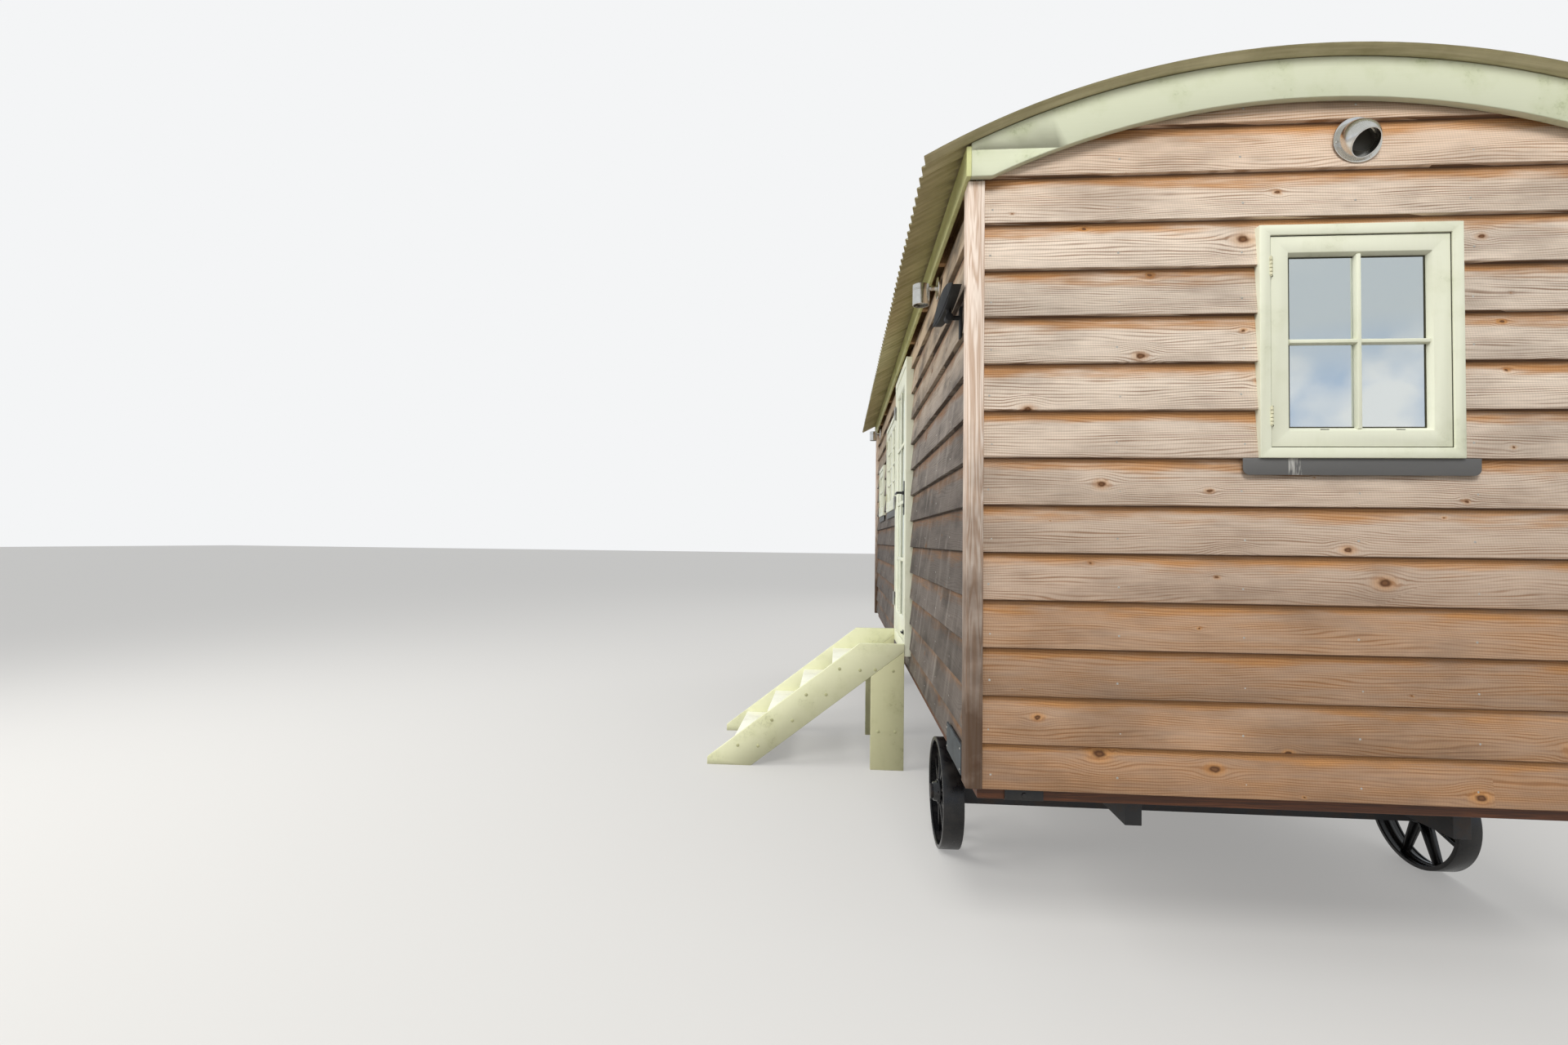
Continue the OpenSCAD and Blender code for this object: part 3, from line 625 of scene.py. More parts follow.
    def weathered(self, node: Adder, spot: BoardSpot, base: Socket) -> Socket:
        """Grime gathers in slow patches, a dark band just below each lap is painted shade, and rain leaves
        pale streaks.

        Args:
            node: Adds a node.
            spot: The point's place on its board.
            base: The wood's colour.

        Returns:
            The weathered colour, with the painted shade under the laps.
        """
        cloud_at = self.cells(node, spot.run, spot.z, self.cloud_cells, spot.own)
        cloud = node("TexNoise", {"Vector": cloud_at, "Scale": 1.0, "Detail": 4.0, "Roughness": 0.6})
        cloud = node("MapRange", {0: cloud, 1: 0.42, 2: 0.72}, interpolation_type="SMOOTHSTEP")
        cloud = node("Math", {0: cloud, 1: self.grime_share}, operation="MULTIPLY")
        # the top of each board, just under the lap above, is darkened: painted shade
        lap = node("MapRange", {0: spot.up, 1: 0.93, 2: 1.0, 4: 0.85}, interpolation_type="SMOOTHSTEP")
        grime = node("Math", {0: cloud, 1: lap}, operation="MAXIMUM")
        base = node("Mix", {0: grime, 6: base, 7: colour(self.grime)}, 2, data_type="RGBA")
        if self.streaks:
            # rain that runs down leaves soft pale streaks, a little aslant
            slant = node("Math", {0: spot.z, 1: 0.12, 2: spot.run}, operation="MULTIPLY_ADD")
            drip_at = self.cells(node, slant, spot.z, self.drip_cells)
            drip = node("TexNoise", {"Vector": drip_at, "Scale": 1.0, "Detail": 3.0, "Roughness": 0.6})
            drip = node("MapRange", {0: drip, 1: 0.48, 2: 0.8, 4: self.streaks},
                        interpolation_type="SMOOTHSTEP")
            base = node("Mix", {0: drip, 6: base, 7: colour(self.streak)}, 2, data_type="RGBA")
        return base

    def dress(self, node: Adder) -> Given:
        """Draws rings, fibre and saw marks, the tones of old and fresh wood, and the knots.

        Args:
            node: Adds a node.

        Returns:
            The shader's colour and normal.
        """
        spot = self.spot(node)
        core, halo, inside, height = self.knots(node, spot)

        # growth rings: their slow wander along the board gives the arches of flat-sawn grain
        wander_at = self.cells(node, spot.shifted, height, self.wander_cells)
        wander = node("TexNoise", {"Vector": wander_at, "Scale": 1.0, "Detail": 2.0, "Roughness": 0.45})
        phase = node("Math", {0: height, 1: self.ring_pitch}, operation="DIVIDE")
        phase = node("Math", {0: wander, 1: 9.0, 2: phase}, operation="MULTIPLY_ADD")
        phase = node("Math", {0: phase, 1: math.tau}, operation="MULTIPLY")
        wave = node("Math", {0: phase}, operation="SINE")
        ring = node("MapRange", {0: wave, 1: -0.1, 2: 1.0}, interpolation_type="SMOOTHSTEP")
        patch_at = self.cells(node, spot.shifted, spot.z, self.patch_cells)
        patch = node("TexNoise", {"Vector": patch_at, "Scale": 1.0, "Detail": 3.0, "Roughness": 0.55})
        clear = node("MapRange", {0: patch, 1: 0.36, 2: 0.62, 3: 0.15, 4: 0.85})
        ring_share = node("Math", {0: ring, 1: clear}, operation="MULTIPLY")
        fibre_at = self.cells(node, spot.shifted, height, self.fibre_cells)
        fibre = node("TexNoise", {"Vector": fibre_at, "Scale": 1.0, "Detail": 2.0, "Roughness": 0.6})
        saw = node("Math", {0: spot.run, 1: math.tau / self.saw_pitch}, operation="MULTIPLY")
        saw = node("Math", {0: wander, 1: 25.0, 2: saw}, operation="MULTIPLY_ADD")
        saw = node("Math", {0: saw}, operation="SINE")

        # silvered wood and its darker rings, each board a little lighter or darker than the next
        tint = node("MapRange", {0: spot.chance, 3: 0.60, 4: 0.86})
        tint = node("Math", {0: fibre, 1: 0.55, 2: tint}, operation="MULTIPLY_ADD")
        tint = node("Math", {0: saw, 1: 0.045, 2: tint}, operation="MULTIPLY_ADD")
        base = node("Mix", {0: ring_share, 6: colour(self.silver), 7: colour(self.ring)}, 2, data_type="RGBA")
        base = node("VectorMath", {0: base, "Scale": tint}, operation="SCALE")
        for tone, start, end, share in self.tones:
            step = node("MapRange", {0: spot.z, 1: start, 2: end, 4: share})
            tone = node("VectorMath", {0: colour(tone)[:3], "Scale": tint}, operation="SCALE")
            base = node("Mix", {0: step, 6: base, 7: tone}, 2, data_type="RGBA")

        # orange wood under the lap above, low on the wall and round the knots
        under = node("Math", {0: patch, 1: 0.75, 2: spot.up}, operation="MULTIPLY_ADD")
        under = node("MapRange", {0: under, 1: 0.98, 2: 1.34, 4: 0.95}, interpolation_type="SMOOTHSTEP")
        low = node("MapRange", {0: spot.z, 1: self.warm_below + 0.01, 2: self.warm_below - 0.01,
                                4: self.warm_share})
        uneven = node("MapRange", {0: patch, 1: 0.3, 2: 0.65, 3: 0.55, 4: 1.15})
        warm = node("Math", {0: low, 1: uneven}, operation="MULTIPLY")
        orange = node("Math", {0: under, 1: warm}, operation="MAXIMUM")
        orange = node("Math", {0: halo, 1: 0.5, 2: orange}, operation="MULTIPLY_ADD", use_clamp=True)
        fresh = node("VectorMath", {0: colour(self.fresh)[:3], "Scale": tint}, operation="SCALE")
        ringed = node("Math", {0: ring, 1: 0.45}, operation="MULTIPLY")
        fresh = node("Mix", {0: ringed, 6: fresh, 7: colour(self.fresh_ring)}, 2, data_type="RGBA")
        base = node("Mix", {0: orange, 6: base, 7: fresh}, 2, data_type="RGBA")
        base = self.weathered(node, spot, base)
        base = node("Mix", {0: core, 6: base, 7: inside}, 2, data_type="RGBA")

        relief = node("Math", {0: ring_share, 1: -0.35, 2: fibre}, operation="MULTIPLY_ADD")
        relief = node("Math", {0: saw, 1: 0.08, 2: relief}, operation="MULTIPLY_ADD")
        relief = node("Math", {0: core, 1: -0.5, 2: relief}, operation="MULTIPLY_ADD")
        normal = node("Bump", {"Height": relief, "Distance": self.relief, "Strength": 0.8}, "Normal")
        return {"Base Color": base, "Normal": normal}


def grained(node: Adder, place: Socket, axis: Axis, along: float, across: float) -> Socket:
    """A place counted in a pattern's cells, fewer of them a metre along the grain than across it.

    Args:
        node: Adds a node.
        place: The place in metres.
        axis: The direction of the grain.
        along: The cells a metre along the grain.
        across: The cells a metre across it.

    Returns:
        The stretched place.
    """
    cells = [across] * 3
    cells[axis.value] = along
    return node("VectorMath", {0: place, 1: cells}, operation="MULTIPLY")


@dataclass(frozen=True)
class Timber(Finish):
    """Planed timber, bare or stained. Its rings run along one direction, with board joints where it is
    laid as a floor or lining, and a satin surface."""

    light: str = "#C9A57A"
    dark: str = "#9C7448"
    foot: str = ""
    foot_z: tuple[float, float] = (0.7, 1.9)
    knot: str = "#4E3422"
    joint: str = "#4A3A2A"
    joint_w: float = 2.5 * MM
    along: Axis = Axis.Z
    across: Axis = Axis.X
    ring_pitch: float = 7 * MM
    board: float = 0.0
    contrast: float = 0.6
    knots: float = 0.0
    relief: float = 0.5 * MM

    def dress(self, node: Adder) -> Given:
        """Draws stretched rings, joints every board and, where asked for, knots and a darker foot.

        Args:
            node: Adds a node.

        Returns:
            The shader's colour and normal.
        """
        place = node("TexCoord", out="Object")
        flow_at = grained(node, place, self.along, 1.4, 1 / (self.ring_pitch * 3.2))
        flow = node("TexNoise", {"Vector": flow_at, "Scale": 1.0, "Detail": 3.0, "Distortion": 0.6})
        rings = node("Math", {0: flow, 1: 46.0}, operation="MULTIPLY")
        rings = node("Math", {0: rings}, operation="SINE")
        rings = node("MapRange", {0: rings, 1: -1.0, 2: 1.0, 4: self.contrast})
        fibre_at = grained(node, place, self.along, 16.0, 700.0)
        fibre = node("TexNoise", {"Vector": fibre_at, "Scale": 1.0, "Detail": 2.0})
        share = node("Math", {0: fibre, 1: 0.45, 2: rings}, operation="MULTIPLY_ADD", use_clamp=True)
        base = node("Mix", {0: share, 6: colour(self.light), 7: colour(self.dark)}, 2, data_type="RGBA")
        relief = share
        split = node("SeparateXYZ", {0: place}).node
        if self.foot:
            # slow patches, about 140 mm across, keep the upper edge of the darker lower part uneven
            low = node("TexNoise", {"Vector": place, "Scale": 7.0, "Detail": 4.0})
            low = node("Math", {0: low, 1: 1.1, 2: split.outputs[2]}, operation="MULTIPLY_ADD")
            low = node("MapRange", {0: low, 1: self.foot_z[1] + 0.55, 2: self.foot_z[0] + 0.55, 4: 0.95})
            base = node("Mix", {0: low, 6: base, 7: colour(self.foot)}, 2, data_type="RGBA")
        if self.knots:
            cell = grained(node, place, self.along, 2.6, 4.0)
            near = node("TexVoronoi", {"Vector": cell, "Scale": 1.0}, "Distance")
            near = node("MapRange", {0: near, 1: 0.12, 2: 0.05, 4: self.knots},
                        interpolation_type="SMOOTHSTEP")
            base = node("Mix", {0: near, 6: base, 7: colour(self.knot)}, 2, data_type="RGBA")
        if self.board:
            spot = node("Math", {0: split.outputs[self.across.value], 1: self.board}, operation="DIVIDE")
            spot = node("Math", {0: spot}, operation="FRACT")
            edge = node("Math", {0: spot, 1: 0.5}, operation="SUBTRACT")
            edge = node("Math", {0: edge}, operation="ABSOLUTE")
            edge = node("MapRange", {0: edge, 1: 0.5 - self.joint_w / self.board, 2: 0.5})
            dim = node("Math", {0: edge, 1: 0.5}, operation="MULTIPLY")
            base = node("Mix", {0: dim, 6: base, 7: colour(self.joint)}, 2, data_type="RGBA")
            relief = node("Math", {0: edge, 1: -4.0, 2: share}, operation="MULTIPLY_ADD")
        normal = node("Bump", {"Height": relief, "Distance": self.relief, "Strength": 0.6}, "Normal")
        return {"Base Color": base, "Normal": normal}


@dataclass(frozen=True)
class Paint(Finish):
    """Exterior wood paint, brushed on. The grain shows through it as soft relief, dust and algae dull it
    in patches, and it keeps a low sheen."""

    tone: str = "#DFE0CA"
    dull: str = "#CDCFB2"
    dirt: str = "#8E9468"
    dirt_share: float = 0.25
    along: Axis = Axis.Z
    relief: float = 0.35 * MM

    def dress(self, node: Adder) -> Given:
        """Draws brush strokes of about 4 mm along the timber, dull patches and specks.

        Args:
            node: Adds a node.

        Returns:
            The shader's colour, roughness and normal.
        """
        place = node("TexCoord", out="Object")
        brush_at = grained(node, place, self.along, 5.0, 260.0)
        brush = node("TexNoise", {"Vector": brush_at, "Scale": 1.0, "Detail": 3.0})
        patch = node("TexNoise", {"Vector": place, "Scale": 5.5, "Detail": 5.0, "Roughness": 0.6})
        share = node("MapRange", {0: patch, 1: 0.48, 2: 0.78, 4: 0.7})
        share = node("Math", {0: brush, 1: 0.2, 2: share}, operation="MULTIPLY_ADD", use_clamp=True)
        base = node("Mix", {0: share, 6: colour(self.tone), 7: colour(self.dull)}, 2, data_type="RGBA")
        specks = node("TexNoise", {"Vector": place, "Scale": 38.0, "Detail": 6.0, "Roughness": 0.75})
        specks = node("Math", {0: specks, 1: patch}, operation="MULTIPLY")
        specks = node("MapRange", {0: specks, 1: 0.31, 2: 0.44, 4: self.dirt_share})
        base = node("Mix", {0: specks, 6: base, 7: colour(self.dirt)}, 2, data_type="RGBA")
        rough = node("MapRange", {0: patch, 1: 0.3, 2: 0.7, 3: self.roughness - 0.07,
                                  4: self.roughness + 0.12})
        normal = node("Bump", {"Height": brush, "Distance": self.relief, "Strength": 0.5}, "Normal")
        return {"Base Color": base, "Roughness": rough, "Normal": normal}


@dataclass(frozen=True)
class RoofSheet(Finish):
    """Plastic-coated steel, corrugated by rollers. It has weathered to an olive grey, darker in streaks where
    dirt and algae stay wet, with a dull sheen; its underside has a paler backing coat, painted paler still to
    stand in for light bounced up from the ground."""

    tone: str = "#85816A"
    dark: str = "#56523C"
    # the underside's coat, paler than it is: partly painted light bounced up from the ground
    backing: str = "#D2C8A2"
    dirty_backing: str = "#A59B74"
    gloss: tuple[float, float] = (0.42, 0.7)
    relief: float = 0.1 * MM

    def dress(self, node: Adder) -> Given:
        """Draws run-off streaks of about 17 mm down the curve, slow patches and the coating's grain.

        Args:
            node: Adds a node.

        Returns:
            The shader's colour, roughness and normal.
        """
        place = node("TexCoord", out="Object")
        streak_at = grained(node, place, Axis.Y, 60.0, 2.5)
        streak = node("TexNoise", {"Vector": streak_at, "Scale": 1.0, "Detail": 4.0, "Roughness": 0.6})
        patch = node("TexNoise", {"Vector": place, "Scale": 3.2, "Detail": 6.0, "Roughness": 0.65})
        share = node("Math", {0: streak, 1: patch}, operation="ADD")
        share = node("MapRange", {0: share, 1: 0.8, 2: 1.25})
        base = node("Mix", {0: share, 6: colour(self.tone), 7: colour(self.dark)}, 2, data_type="RGBA")
        # the faces that look down get the backing coat, whose paleness is partly painted bounce light
        facing = node("SeparateXYZ", {0: node("TexCoord", out="Normal")}, 2)
        below = node("MapRange", {0: facing, 1: 0.05, 2: -0.05})
        coat = node("Mix", {0: share, 6: colour(self.backing), 7: colour(self.dirty_backing)}, 2,
                    data_type="RGBA")
        base = node("Mix", {0: below, 6: base, 7: coat}, 2, data_type="RGBA")
        rough = node("MapRange", {0: patch, 3: self.gloss[0], 4: self.gloss[1]})
        grain = node("TexNoise", {"Vector": place, "Scale": 400.0, "Detail": 2.0})
        normal = node("Bump", {"Height": grain, "Distance": self.relief, "Strength": 0.3}, "Normal")
        return {"Base Color": base, "Roughness": rough, "Normal": normal}


@dataclass(frozen=True)
class Metal(Finish):
    """Metal, cast, rolled or brushed, bare or enamelled. Its grain catches light in fine lines or pits,
    and dust or oxide lies on it in patches."""

    tone: str = "#9A9A96"
    dust: str = "#6E6A62"
    dust_share: float = 0.3
    # cells a metre in each direction: 400 is a grain of 2.5 mm, drawn coarse so that it shows
    cells: tuple[float, float, float] = (400.0, 400.0, 400.0)
    relief: float = 0.05 * MM

    def dress(self, node: Adder) -> Given:
        """Draws the grain and the dusty patches, which are rougher than the metal.

        Args:
            node: Adds a node.

        Returns:
            The shader's colour, roughness and normal.
        """
        place = node("TexCoord", out="Object")
        grain_at = node("VectorMath", {0: place, 1: self.cells}, operation="MULTIPLY")
        grain = node("TexNoise", {"Vector": grain_at, "Scale": 1.0, "Detail": 3.0})
        patch = node("TexNoise", {"Vector": place, "Scale": 14.0, "Detail": 6.0, "Roughness": 0.65})
        share = node("MapRange", {0: patch, 1: 0.45, 2: 0.75, 4: self.dust_share})
        base = node("Mix", {0: share, 6: colour(self.tone), 7: colour(self.dust)}, 2, data_type="RGBA")
        rough = node("Math", {0: grain, 1: 0.16, 2: self.roughness - 0.08}, operation="MULTIPLY_ADD")
        rough = node("Math", {0: share, 1: 0.5, 2: rough}, operation="MULTIPLY_ADD", use_clamp=True)
        normal = node("Bump", {"Height": grain, "Distance": self.relief, "Strength": 0.5}, "Normal")
        return {"Base Color": base, "Roughness": rough, "Normal": normal}


@dataclass(frozen=True)
class Lead(Finish):
    """Milled sheet lead, dressed by hand. It is soft, dull and dark grey, with dents from the mallet and
    pale scuffs near its ends."""

    tone: str = "#5F5E5C"
    pale: str = "#B7B5AE"
    middle: float = 0.36
    scuffs: tuple[float, float] = (0.125, 0.022)
    relief: float = 1.5 * MM

    def dress(self, node: Adder) -> Given:
        """Draws dents of about 30 mm, and upright scuffs of about 9 mm by 70 mm.

        Args:
            node: Adds a node.

        Returns:
            The shader's colour and normal.
        """
        place = node("TexCoord", out="Object")
        scuff_at = grained(node, place, Axis.Z, 14.0, 110.0)
        scuff = node("TexNoise", {"Vector": scuff_at, "Scale": 1.0, "Detail": 3.0})
        scuff = node("MapRange", {0: scuff, 1: 0.5, 2: 0.62, 4: 0.85})
        # only the places as far from the frame's middle as one end of the flashing, to either side
        out = node("Math", {0: node("SeparateXYZ", {0: place}, 0)}, operation="ABSOLUTE")
        out = node("Math", {0: out, 1: self.middle}, operation="SUBTRACT")
        out = node("Math", {0: out}, operation="ABSOLUTE")
        out = node("Math", {0: out, 1: self.scuffs[0], 2: self.scuffs[1]}, operation="COMPARE")
        scuff = node("Math", {0: scuff, 1: out}, operation="MULTIPLY")
        base = node("Mix", {0: scuff, 6: colour(self.tone), 7: colour(self.pale)}, 2, data_type="RGBA")
        dents = node("TexNoise", {"Vector": place, "Scale": 32.0, "Detail": 2.0})
        normal = node("Bump", {"Height": dents, "Distance": self.relief, "Strength": 0.5}, "Normal")
        return {"Base Color": base, "Normal": normal}


@dataclass(frozen=True)
class Slate(Finish):
    """Riven slate. It splits in thin steps, so its dark face is layered and catches light unevenly."""

    dark: str = "#23272A"
    light: str = "#4A5054"
    relief: float = 2.5 * MM

    def dress(self, node: Adder) -> Given:
        """Draws the riven steps and a faint blue-grey mottling of about 45 mm.

        Args:
            node: Adds a node.

        Returns:
            The shader's colour and normal.
        """
        place = node("TexCoord", out="Object")
        patch = node("TexNoise", {"Vector": place, "Scale": 22.0, "Detail": 7.0, "Roughness": 0.6})
        share = node("MapRange", {0: patch, 1: 0.3, 2: 0.8})
        base = node("Mix", {0: share, 6: colour(self.dark), 7: colour(self.light)}, 2, data_type="RGBA")
        steps = node("Math", {0: patch, 1: 0.09}, operation="SNAP")
        normal = node("Bump", {"Height": steps, "Distance": self.relief, "Strength": 0.5}, "Normal")
        return {"Base Color": base, "Normal": normal}


@dataclass(frozen=True)
class Pane(Finish):
    """Float glass with a metal-oxide coating. It mirrors the sky as strongly as it lets the dark room
    through, and has no colour of its own beyond a trace of green."""

    tone: str = "#E6EBEA"
    ior: float = 1.52
    coating: float = 0.82

    def dress(self, node: Adder) -> Given:
        """Sets the shader's own sockets; rain leaves a faint film that is rougher.

        Args:
            node: Adds a node.

        Returns:
            The shader's inputs.
        """
        film = node("TexNoise", {"Vector": node("TexCoord", out="Object"), "Scale": 6.0, "Detail": 4.0})
        film = node("MapRange", {0: film, 1: 0.4, 2: 0.8, 3: self.roughness, 4: self.roughness + 0.06})
        return {"Base Color": colour(self.tone), "Transmission Weight": 1.0, "IOR": self.ior,
                "Metallic": self.coating, "Roughness": film}


@dataclass(frozen=True)
class Moulded(Finish):
    """Moulded plastic or rubber, dark. Its surface is even with a faint texture from the mould."""

    tone: str = "#101012"
    dust: str = "#4A4846"
    relief: float = 0.05 * MM

    def dress(self, node: Adder) -> Given:
        """Draws the mould's texture, with grains of about 1 mm, and a little dust.

        Args:
            node: Adds a node.

        Returns:
            The shader's colour and normal.
        """
        place = node("TexCoord", out="Object")
        dust = node("TexNoise", {"Vector": place, "Scale": 18.0, "Detail": 5.0})
        dust = node("MapRange", {0: dust, 1: 0.5, 2: 0.8, 4: 0.35})
        base = node("Mix", {0: dust, 6: colour(self.tone), 7: colour(self.dust)}, 2, data_type="RGBA")
        grain = node("TexNoise", {"Vector": place, "Scale": 900.0, "Detail": 1.0})
        normal = node("Bump", {"Height": grain, "Distance": self.relief, "Strength": 0.3}, "Normal")
        return {"Base Color": base, "Normal": normal}


@dataclass
class Finishes:
    """All the finishes of the hut, named for what they are."""

    gable_boards: Finish = LarchBoards("sawn_larch_gable", 0.78, along=Axis.X, seed=3.0)
    rear_boards: Finish = LarchBoards("sawn_larch_rear", 0.78, along=Axis.X, seed=61.0)
    side_boards: Finish = LarchBoards(
        "sawn_larch_side", 0.8, along=Axis.Y, seed=17.0, silver="#948A80", ring="#4F443B", fresh="#7A6048",
        grime="#383029", grime_share=0.85, warm_below=0.0, streaks=0.3,
        tones=(("#564D46", 2.25, 1.6, 0.8), ("#CDB493", 2.1, 2.75, 0.8)))
    far_boards: Finish = LarchBoards(
        "sawn_larch_far_side", 0.8, along=Axis.Y, seed=117.0, silver="#ADA193", ring="#665647",
        fresh="#8E6A48", grime="#4A4038", grime_share=0.6, warm_below=0.0, streaks=0.22,
        tones=(("#6E6359", 2.2, 1.2, 0.6), ("#CDB493", 2.1, 2.75, 0.7)))
    post: Finish = Timber("weathered_larch_post", 0.75, light="#F0E3D5", dark="#AE8D72", foot="#4E3826",
                          foot_z=(0.85, 2.05), ring_pitch=11 * MM, contrast=0.55, knots=0.85)
    lining: Finish = Timber("painted_lining", 0.55, light="#E9E4D4", dark="#DED7C4", along=Axis.Z,
                            across=Axis.Y, board=0.095, contrast=0.3)
    gable_lining: Finish = Timber("painted_gable_lining", 0.55, light="#E9E4D4", dark="#DED7C4",
                                  along=Axis.Z, across=Axis.X, board=0.095, contrast=0.3)
    ceiling: Finish = Timber("painted_ceiling", 0.55, light="#ECE8DA", dark="#E2DCCA", along=Axis.Y,
                             across=Axis.X, board=0.095, contrast=0.3)
    floor: Finish = Timber("pine_floor", 0.45, light="#D0A878", dark="#A57C4E", along=Axis.Y,
                           across=Axis.X, board=0.12)
    rough_pine: Finish = Timber("rough_pine", 0.75, light="#C4A074", dark="#98744A", along=Axis.Y)
    beam: Finish = Timber("stained_pine_beam", 0.6, light="#6B3F24", dark="#3E2212", along=Axis.X)
    sage: Finish = Paint("sage_wood_paint", 0.42, dirt_share=0.2)
    # the bargeboards' paint is a darker, greener copy of the sage paint: painted shade, with more dirt specks
    # on top
    barge: Finish = Paint("sage_wood_paint_roof", 0.45, tone="#CFD2B8", dull="#B9BF98", dirt="#7E8A4E",
                          dirt_share=0.45, along=Axis.X)
    fascia: Finish = Paint("sage_wood_paint_eaves", 0.5, tone="#D9DA9E", dull="#ACB064", dirt="#6A6E40",
                           dirt_share=0.5, along=Axis.Y)
    step: Finish = Paint("sage_wood_paint_steps", 0.45, tone="#DCDCB8", dull="#C9CA9E", dirt="#7C7A52",
                         dirt_share=0.35, along=Axis.X)
    # the legs' paint is a darker copy of the steps' paint: painted shade, for the legs stand in shade
    leg: Finish = Paint("sage_wood_paint_legs", 0.45, tone="#C6C49C", dull="#B0AE84", dirt="#74724C",
                        dirt_share=0.45)
    cap: Finish = Paint("sage_cap_paint", 0.5, tone="#B9B88E", dull="#9E9D72", dirt="#6A6844",
                        dirt_share=0.5)
    tread: Finish = Paint("tread_paint", 0.5, tone="#EDECDA", dull="#D2CFB8", dirt="#8B8468",
                          dirt_share=0.4, along=Axis.Y)
    roof: Finish = RoofSheet("coated_roof_steel", 0.5)
    cast_iron: Finish = Metal("enamelled_cast_iron", 0.28, tone="#0E0E10", dust="#4B4640",
                              dust_share=0.4, cells=(160.0, 160.0, 160.0), relief=0.25 * MM)
    chassis: Finish = Metal("painted_chassis_steel", 0.5, tone="#1F1F21", dust="#5A4636",
                            dust_share=0.5, relief=0.15 * MM)
    black_iron: Finish = Metal("black_painted_iron", 0.35, tone="#121213", dust="#45403A",
                               dust_share=0.3, relief=0.12 * MM)
    casement_hinge: Finish = Metal("painted_hinge_steel", 0.38, tone="#D2CFB0", dust="#8E8668",
                                   dust_share=0.5)
    stainless: Finish = Metal("brushed_stainless", 0.2, 1.0, tone="#DEDBD4", dust="#6E675C",
                              dust_share=0.25, cells=(500.0, 500.0, 18.0))
    screw: Finish = Metal("galvanised_fixing", 0.4, 0.9, tone="#C4C0B8", dust="#8F8576", dust_share=0.5)
    hinge: Finish = Metal("zinc_plated_steel", 0.35, 1.0, tone="#B9B7B2", dust="#7D776C", dust_share=0.4)
    spacer: Finish = Metal("anodised_spacer", 0.4, 1.0, tone="#A9ABAD", dust="#8A8C8E", dust_share=0.2)
    lead: Finish = Lead("milled_lead", 0.6)
    slate: Finish = Slate("riven_slate", 0.55)
    glass: Finish = Pane("float_glass", 0.015)
    lens: Finish = Pane("lamp_glass", 0.12, tone="#E8E8E2", ior=1.45, coating=0.0)
    plastic: Finish = Moulded("satin_black_abs", 0.72, tone="#050505")
    # dark blocks for the drain slots: painted shade for their hollows
    rubber: Finish = Moulded("black_rubber", 0.7, tone="#0B0B0B")
    # dark olive rubber for the seals, which also stands in for the shade in the joints and under the beads,
    # and for the painted shadow under the hinges
    seal: Finish = Moulded("glazing_rubber", 0.7, tone="#35331F")
    flap: Finish = Moulded("grey_polypropylene", 0.5, tone="#4C4A42")


# ---- the hut ----


@dataclass
class Hut:
    """The hut's main lines, in metres, its middle at x = 0 before it is placed."""

    core_x: float = 1.144
    core_y: float = 3.018
    half_w: float = 1.190
    half_l: float = 3.050
    post_w: float = 0.058
    post_d: float = 0.085
    board_t: float = 0.028
    board_step: float = 0.020
    line_z: float = 0.786
    exposure: float = 0.168
    most_rows: int = 40
    least_row: float = 0.020
    gable_low: float = 0.627
    side_low: float = 0.655
    eaves_z: float = 2.790
    roof_r: float = 2.800
    arc_z: float = 0.3741
    shift: float = field(init=False)

    def __post_init__(self) -> None:
        """Reads the middle of the hut from the roof."""
        low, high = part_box("roof_sheets")
        self.shift = (low.x + high.x) / 2

    def placed(self) -> Matrix:
        """Moves what is built round the hut's middle to its place."""
        return Matrix.Translation((self.shift, 0, 0))

    def front(self) -> Matrix:
        """The front gable: local X to the right, outward -Y, the framed wall's face at y = 0."""
        return self.placed() @ Matrix.Translation((0, -self.core_y, 0))

    def rear(self) -> Matrix:
        """The rear gable, which is the front one turned half round."""
        turn = Matrix.Rotation(math.pi, 4, "Z")
        return self.placed() @ turn @ Matrix.Translation((0, -self.core_y, 0))

    def left(self) -> Matrix:
        """The left side: local X runs to the front, outward -Y."""
        turn = Matrix.Rotation(-math.pi / 2, 4, "Z")
        return self.placed() @ Matrix.Translation((-self.core_x, 0, 0)) @ turn

    def right(self) -> Matrix:
        """The right side: local X runs to the rear, outward -Y."""
        turn = Matrix.Rotation(math.pi / 2, 4, "Z")
        return self.placed() @ Matrix.Translation((self.core_x, 0, 0)) @ turn

    def rows(self, low: float, high: float) -> list[tuple[float, float]]:
        """The boards between two heights.

        Args:
            low: The lower edge of the lowest board.
            high: The upper edge of the highest.

        Returns:
            The lower and upper edge of each board.
        """
        laps = [self.line_z + i * self.exposure for i in range(self.most_rows)]
        edges = [low] + [lap for lap in laps if low < lap < high - self.least_row] + [high]
        return list(zip(edges, edges[1:]))


def ready(piece: Piece, finish: Finish, body: str, slot: str, *nodes: str) -> None:
    """Finishes a piece: its material, the body it rides on and the nodes it stands for.

    Args:
        piece: The object.
        finish: Its finish.
        body: The CAD body that carries it.
        slot: The record's material slot; not used.
        nodes: The CAD nodes that it replaces.
    """
    finish.on(piece)
    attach(piece, body)
    if nodes:
        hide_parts(*nodes)
    log.info("%s: %d faces", piece.name, len(piece.data.polygons))


def rounded(node: str, name: str, width: float, finish: Finish, slot: str, body: str = "root",
            segments: int = 2) -> None:
    """Finishes a copy of a CAD node whose edges are rounded, which stands for the node.

    Args:
        node: The node's name.
        name: The copy's name.
        width: The width of the rounding in metres.
        finish: Its finish.
        slot: The record's material slot.
        body: The CAD body that carries it.
        segments: How many faces each rounding has.
    """
    ready(softened(from_frame(node, name), width, segments), finish, body, slot, node)


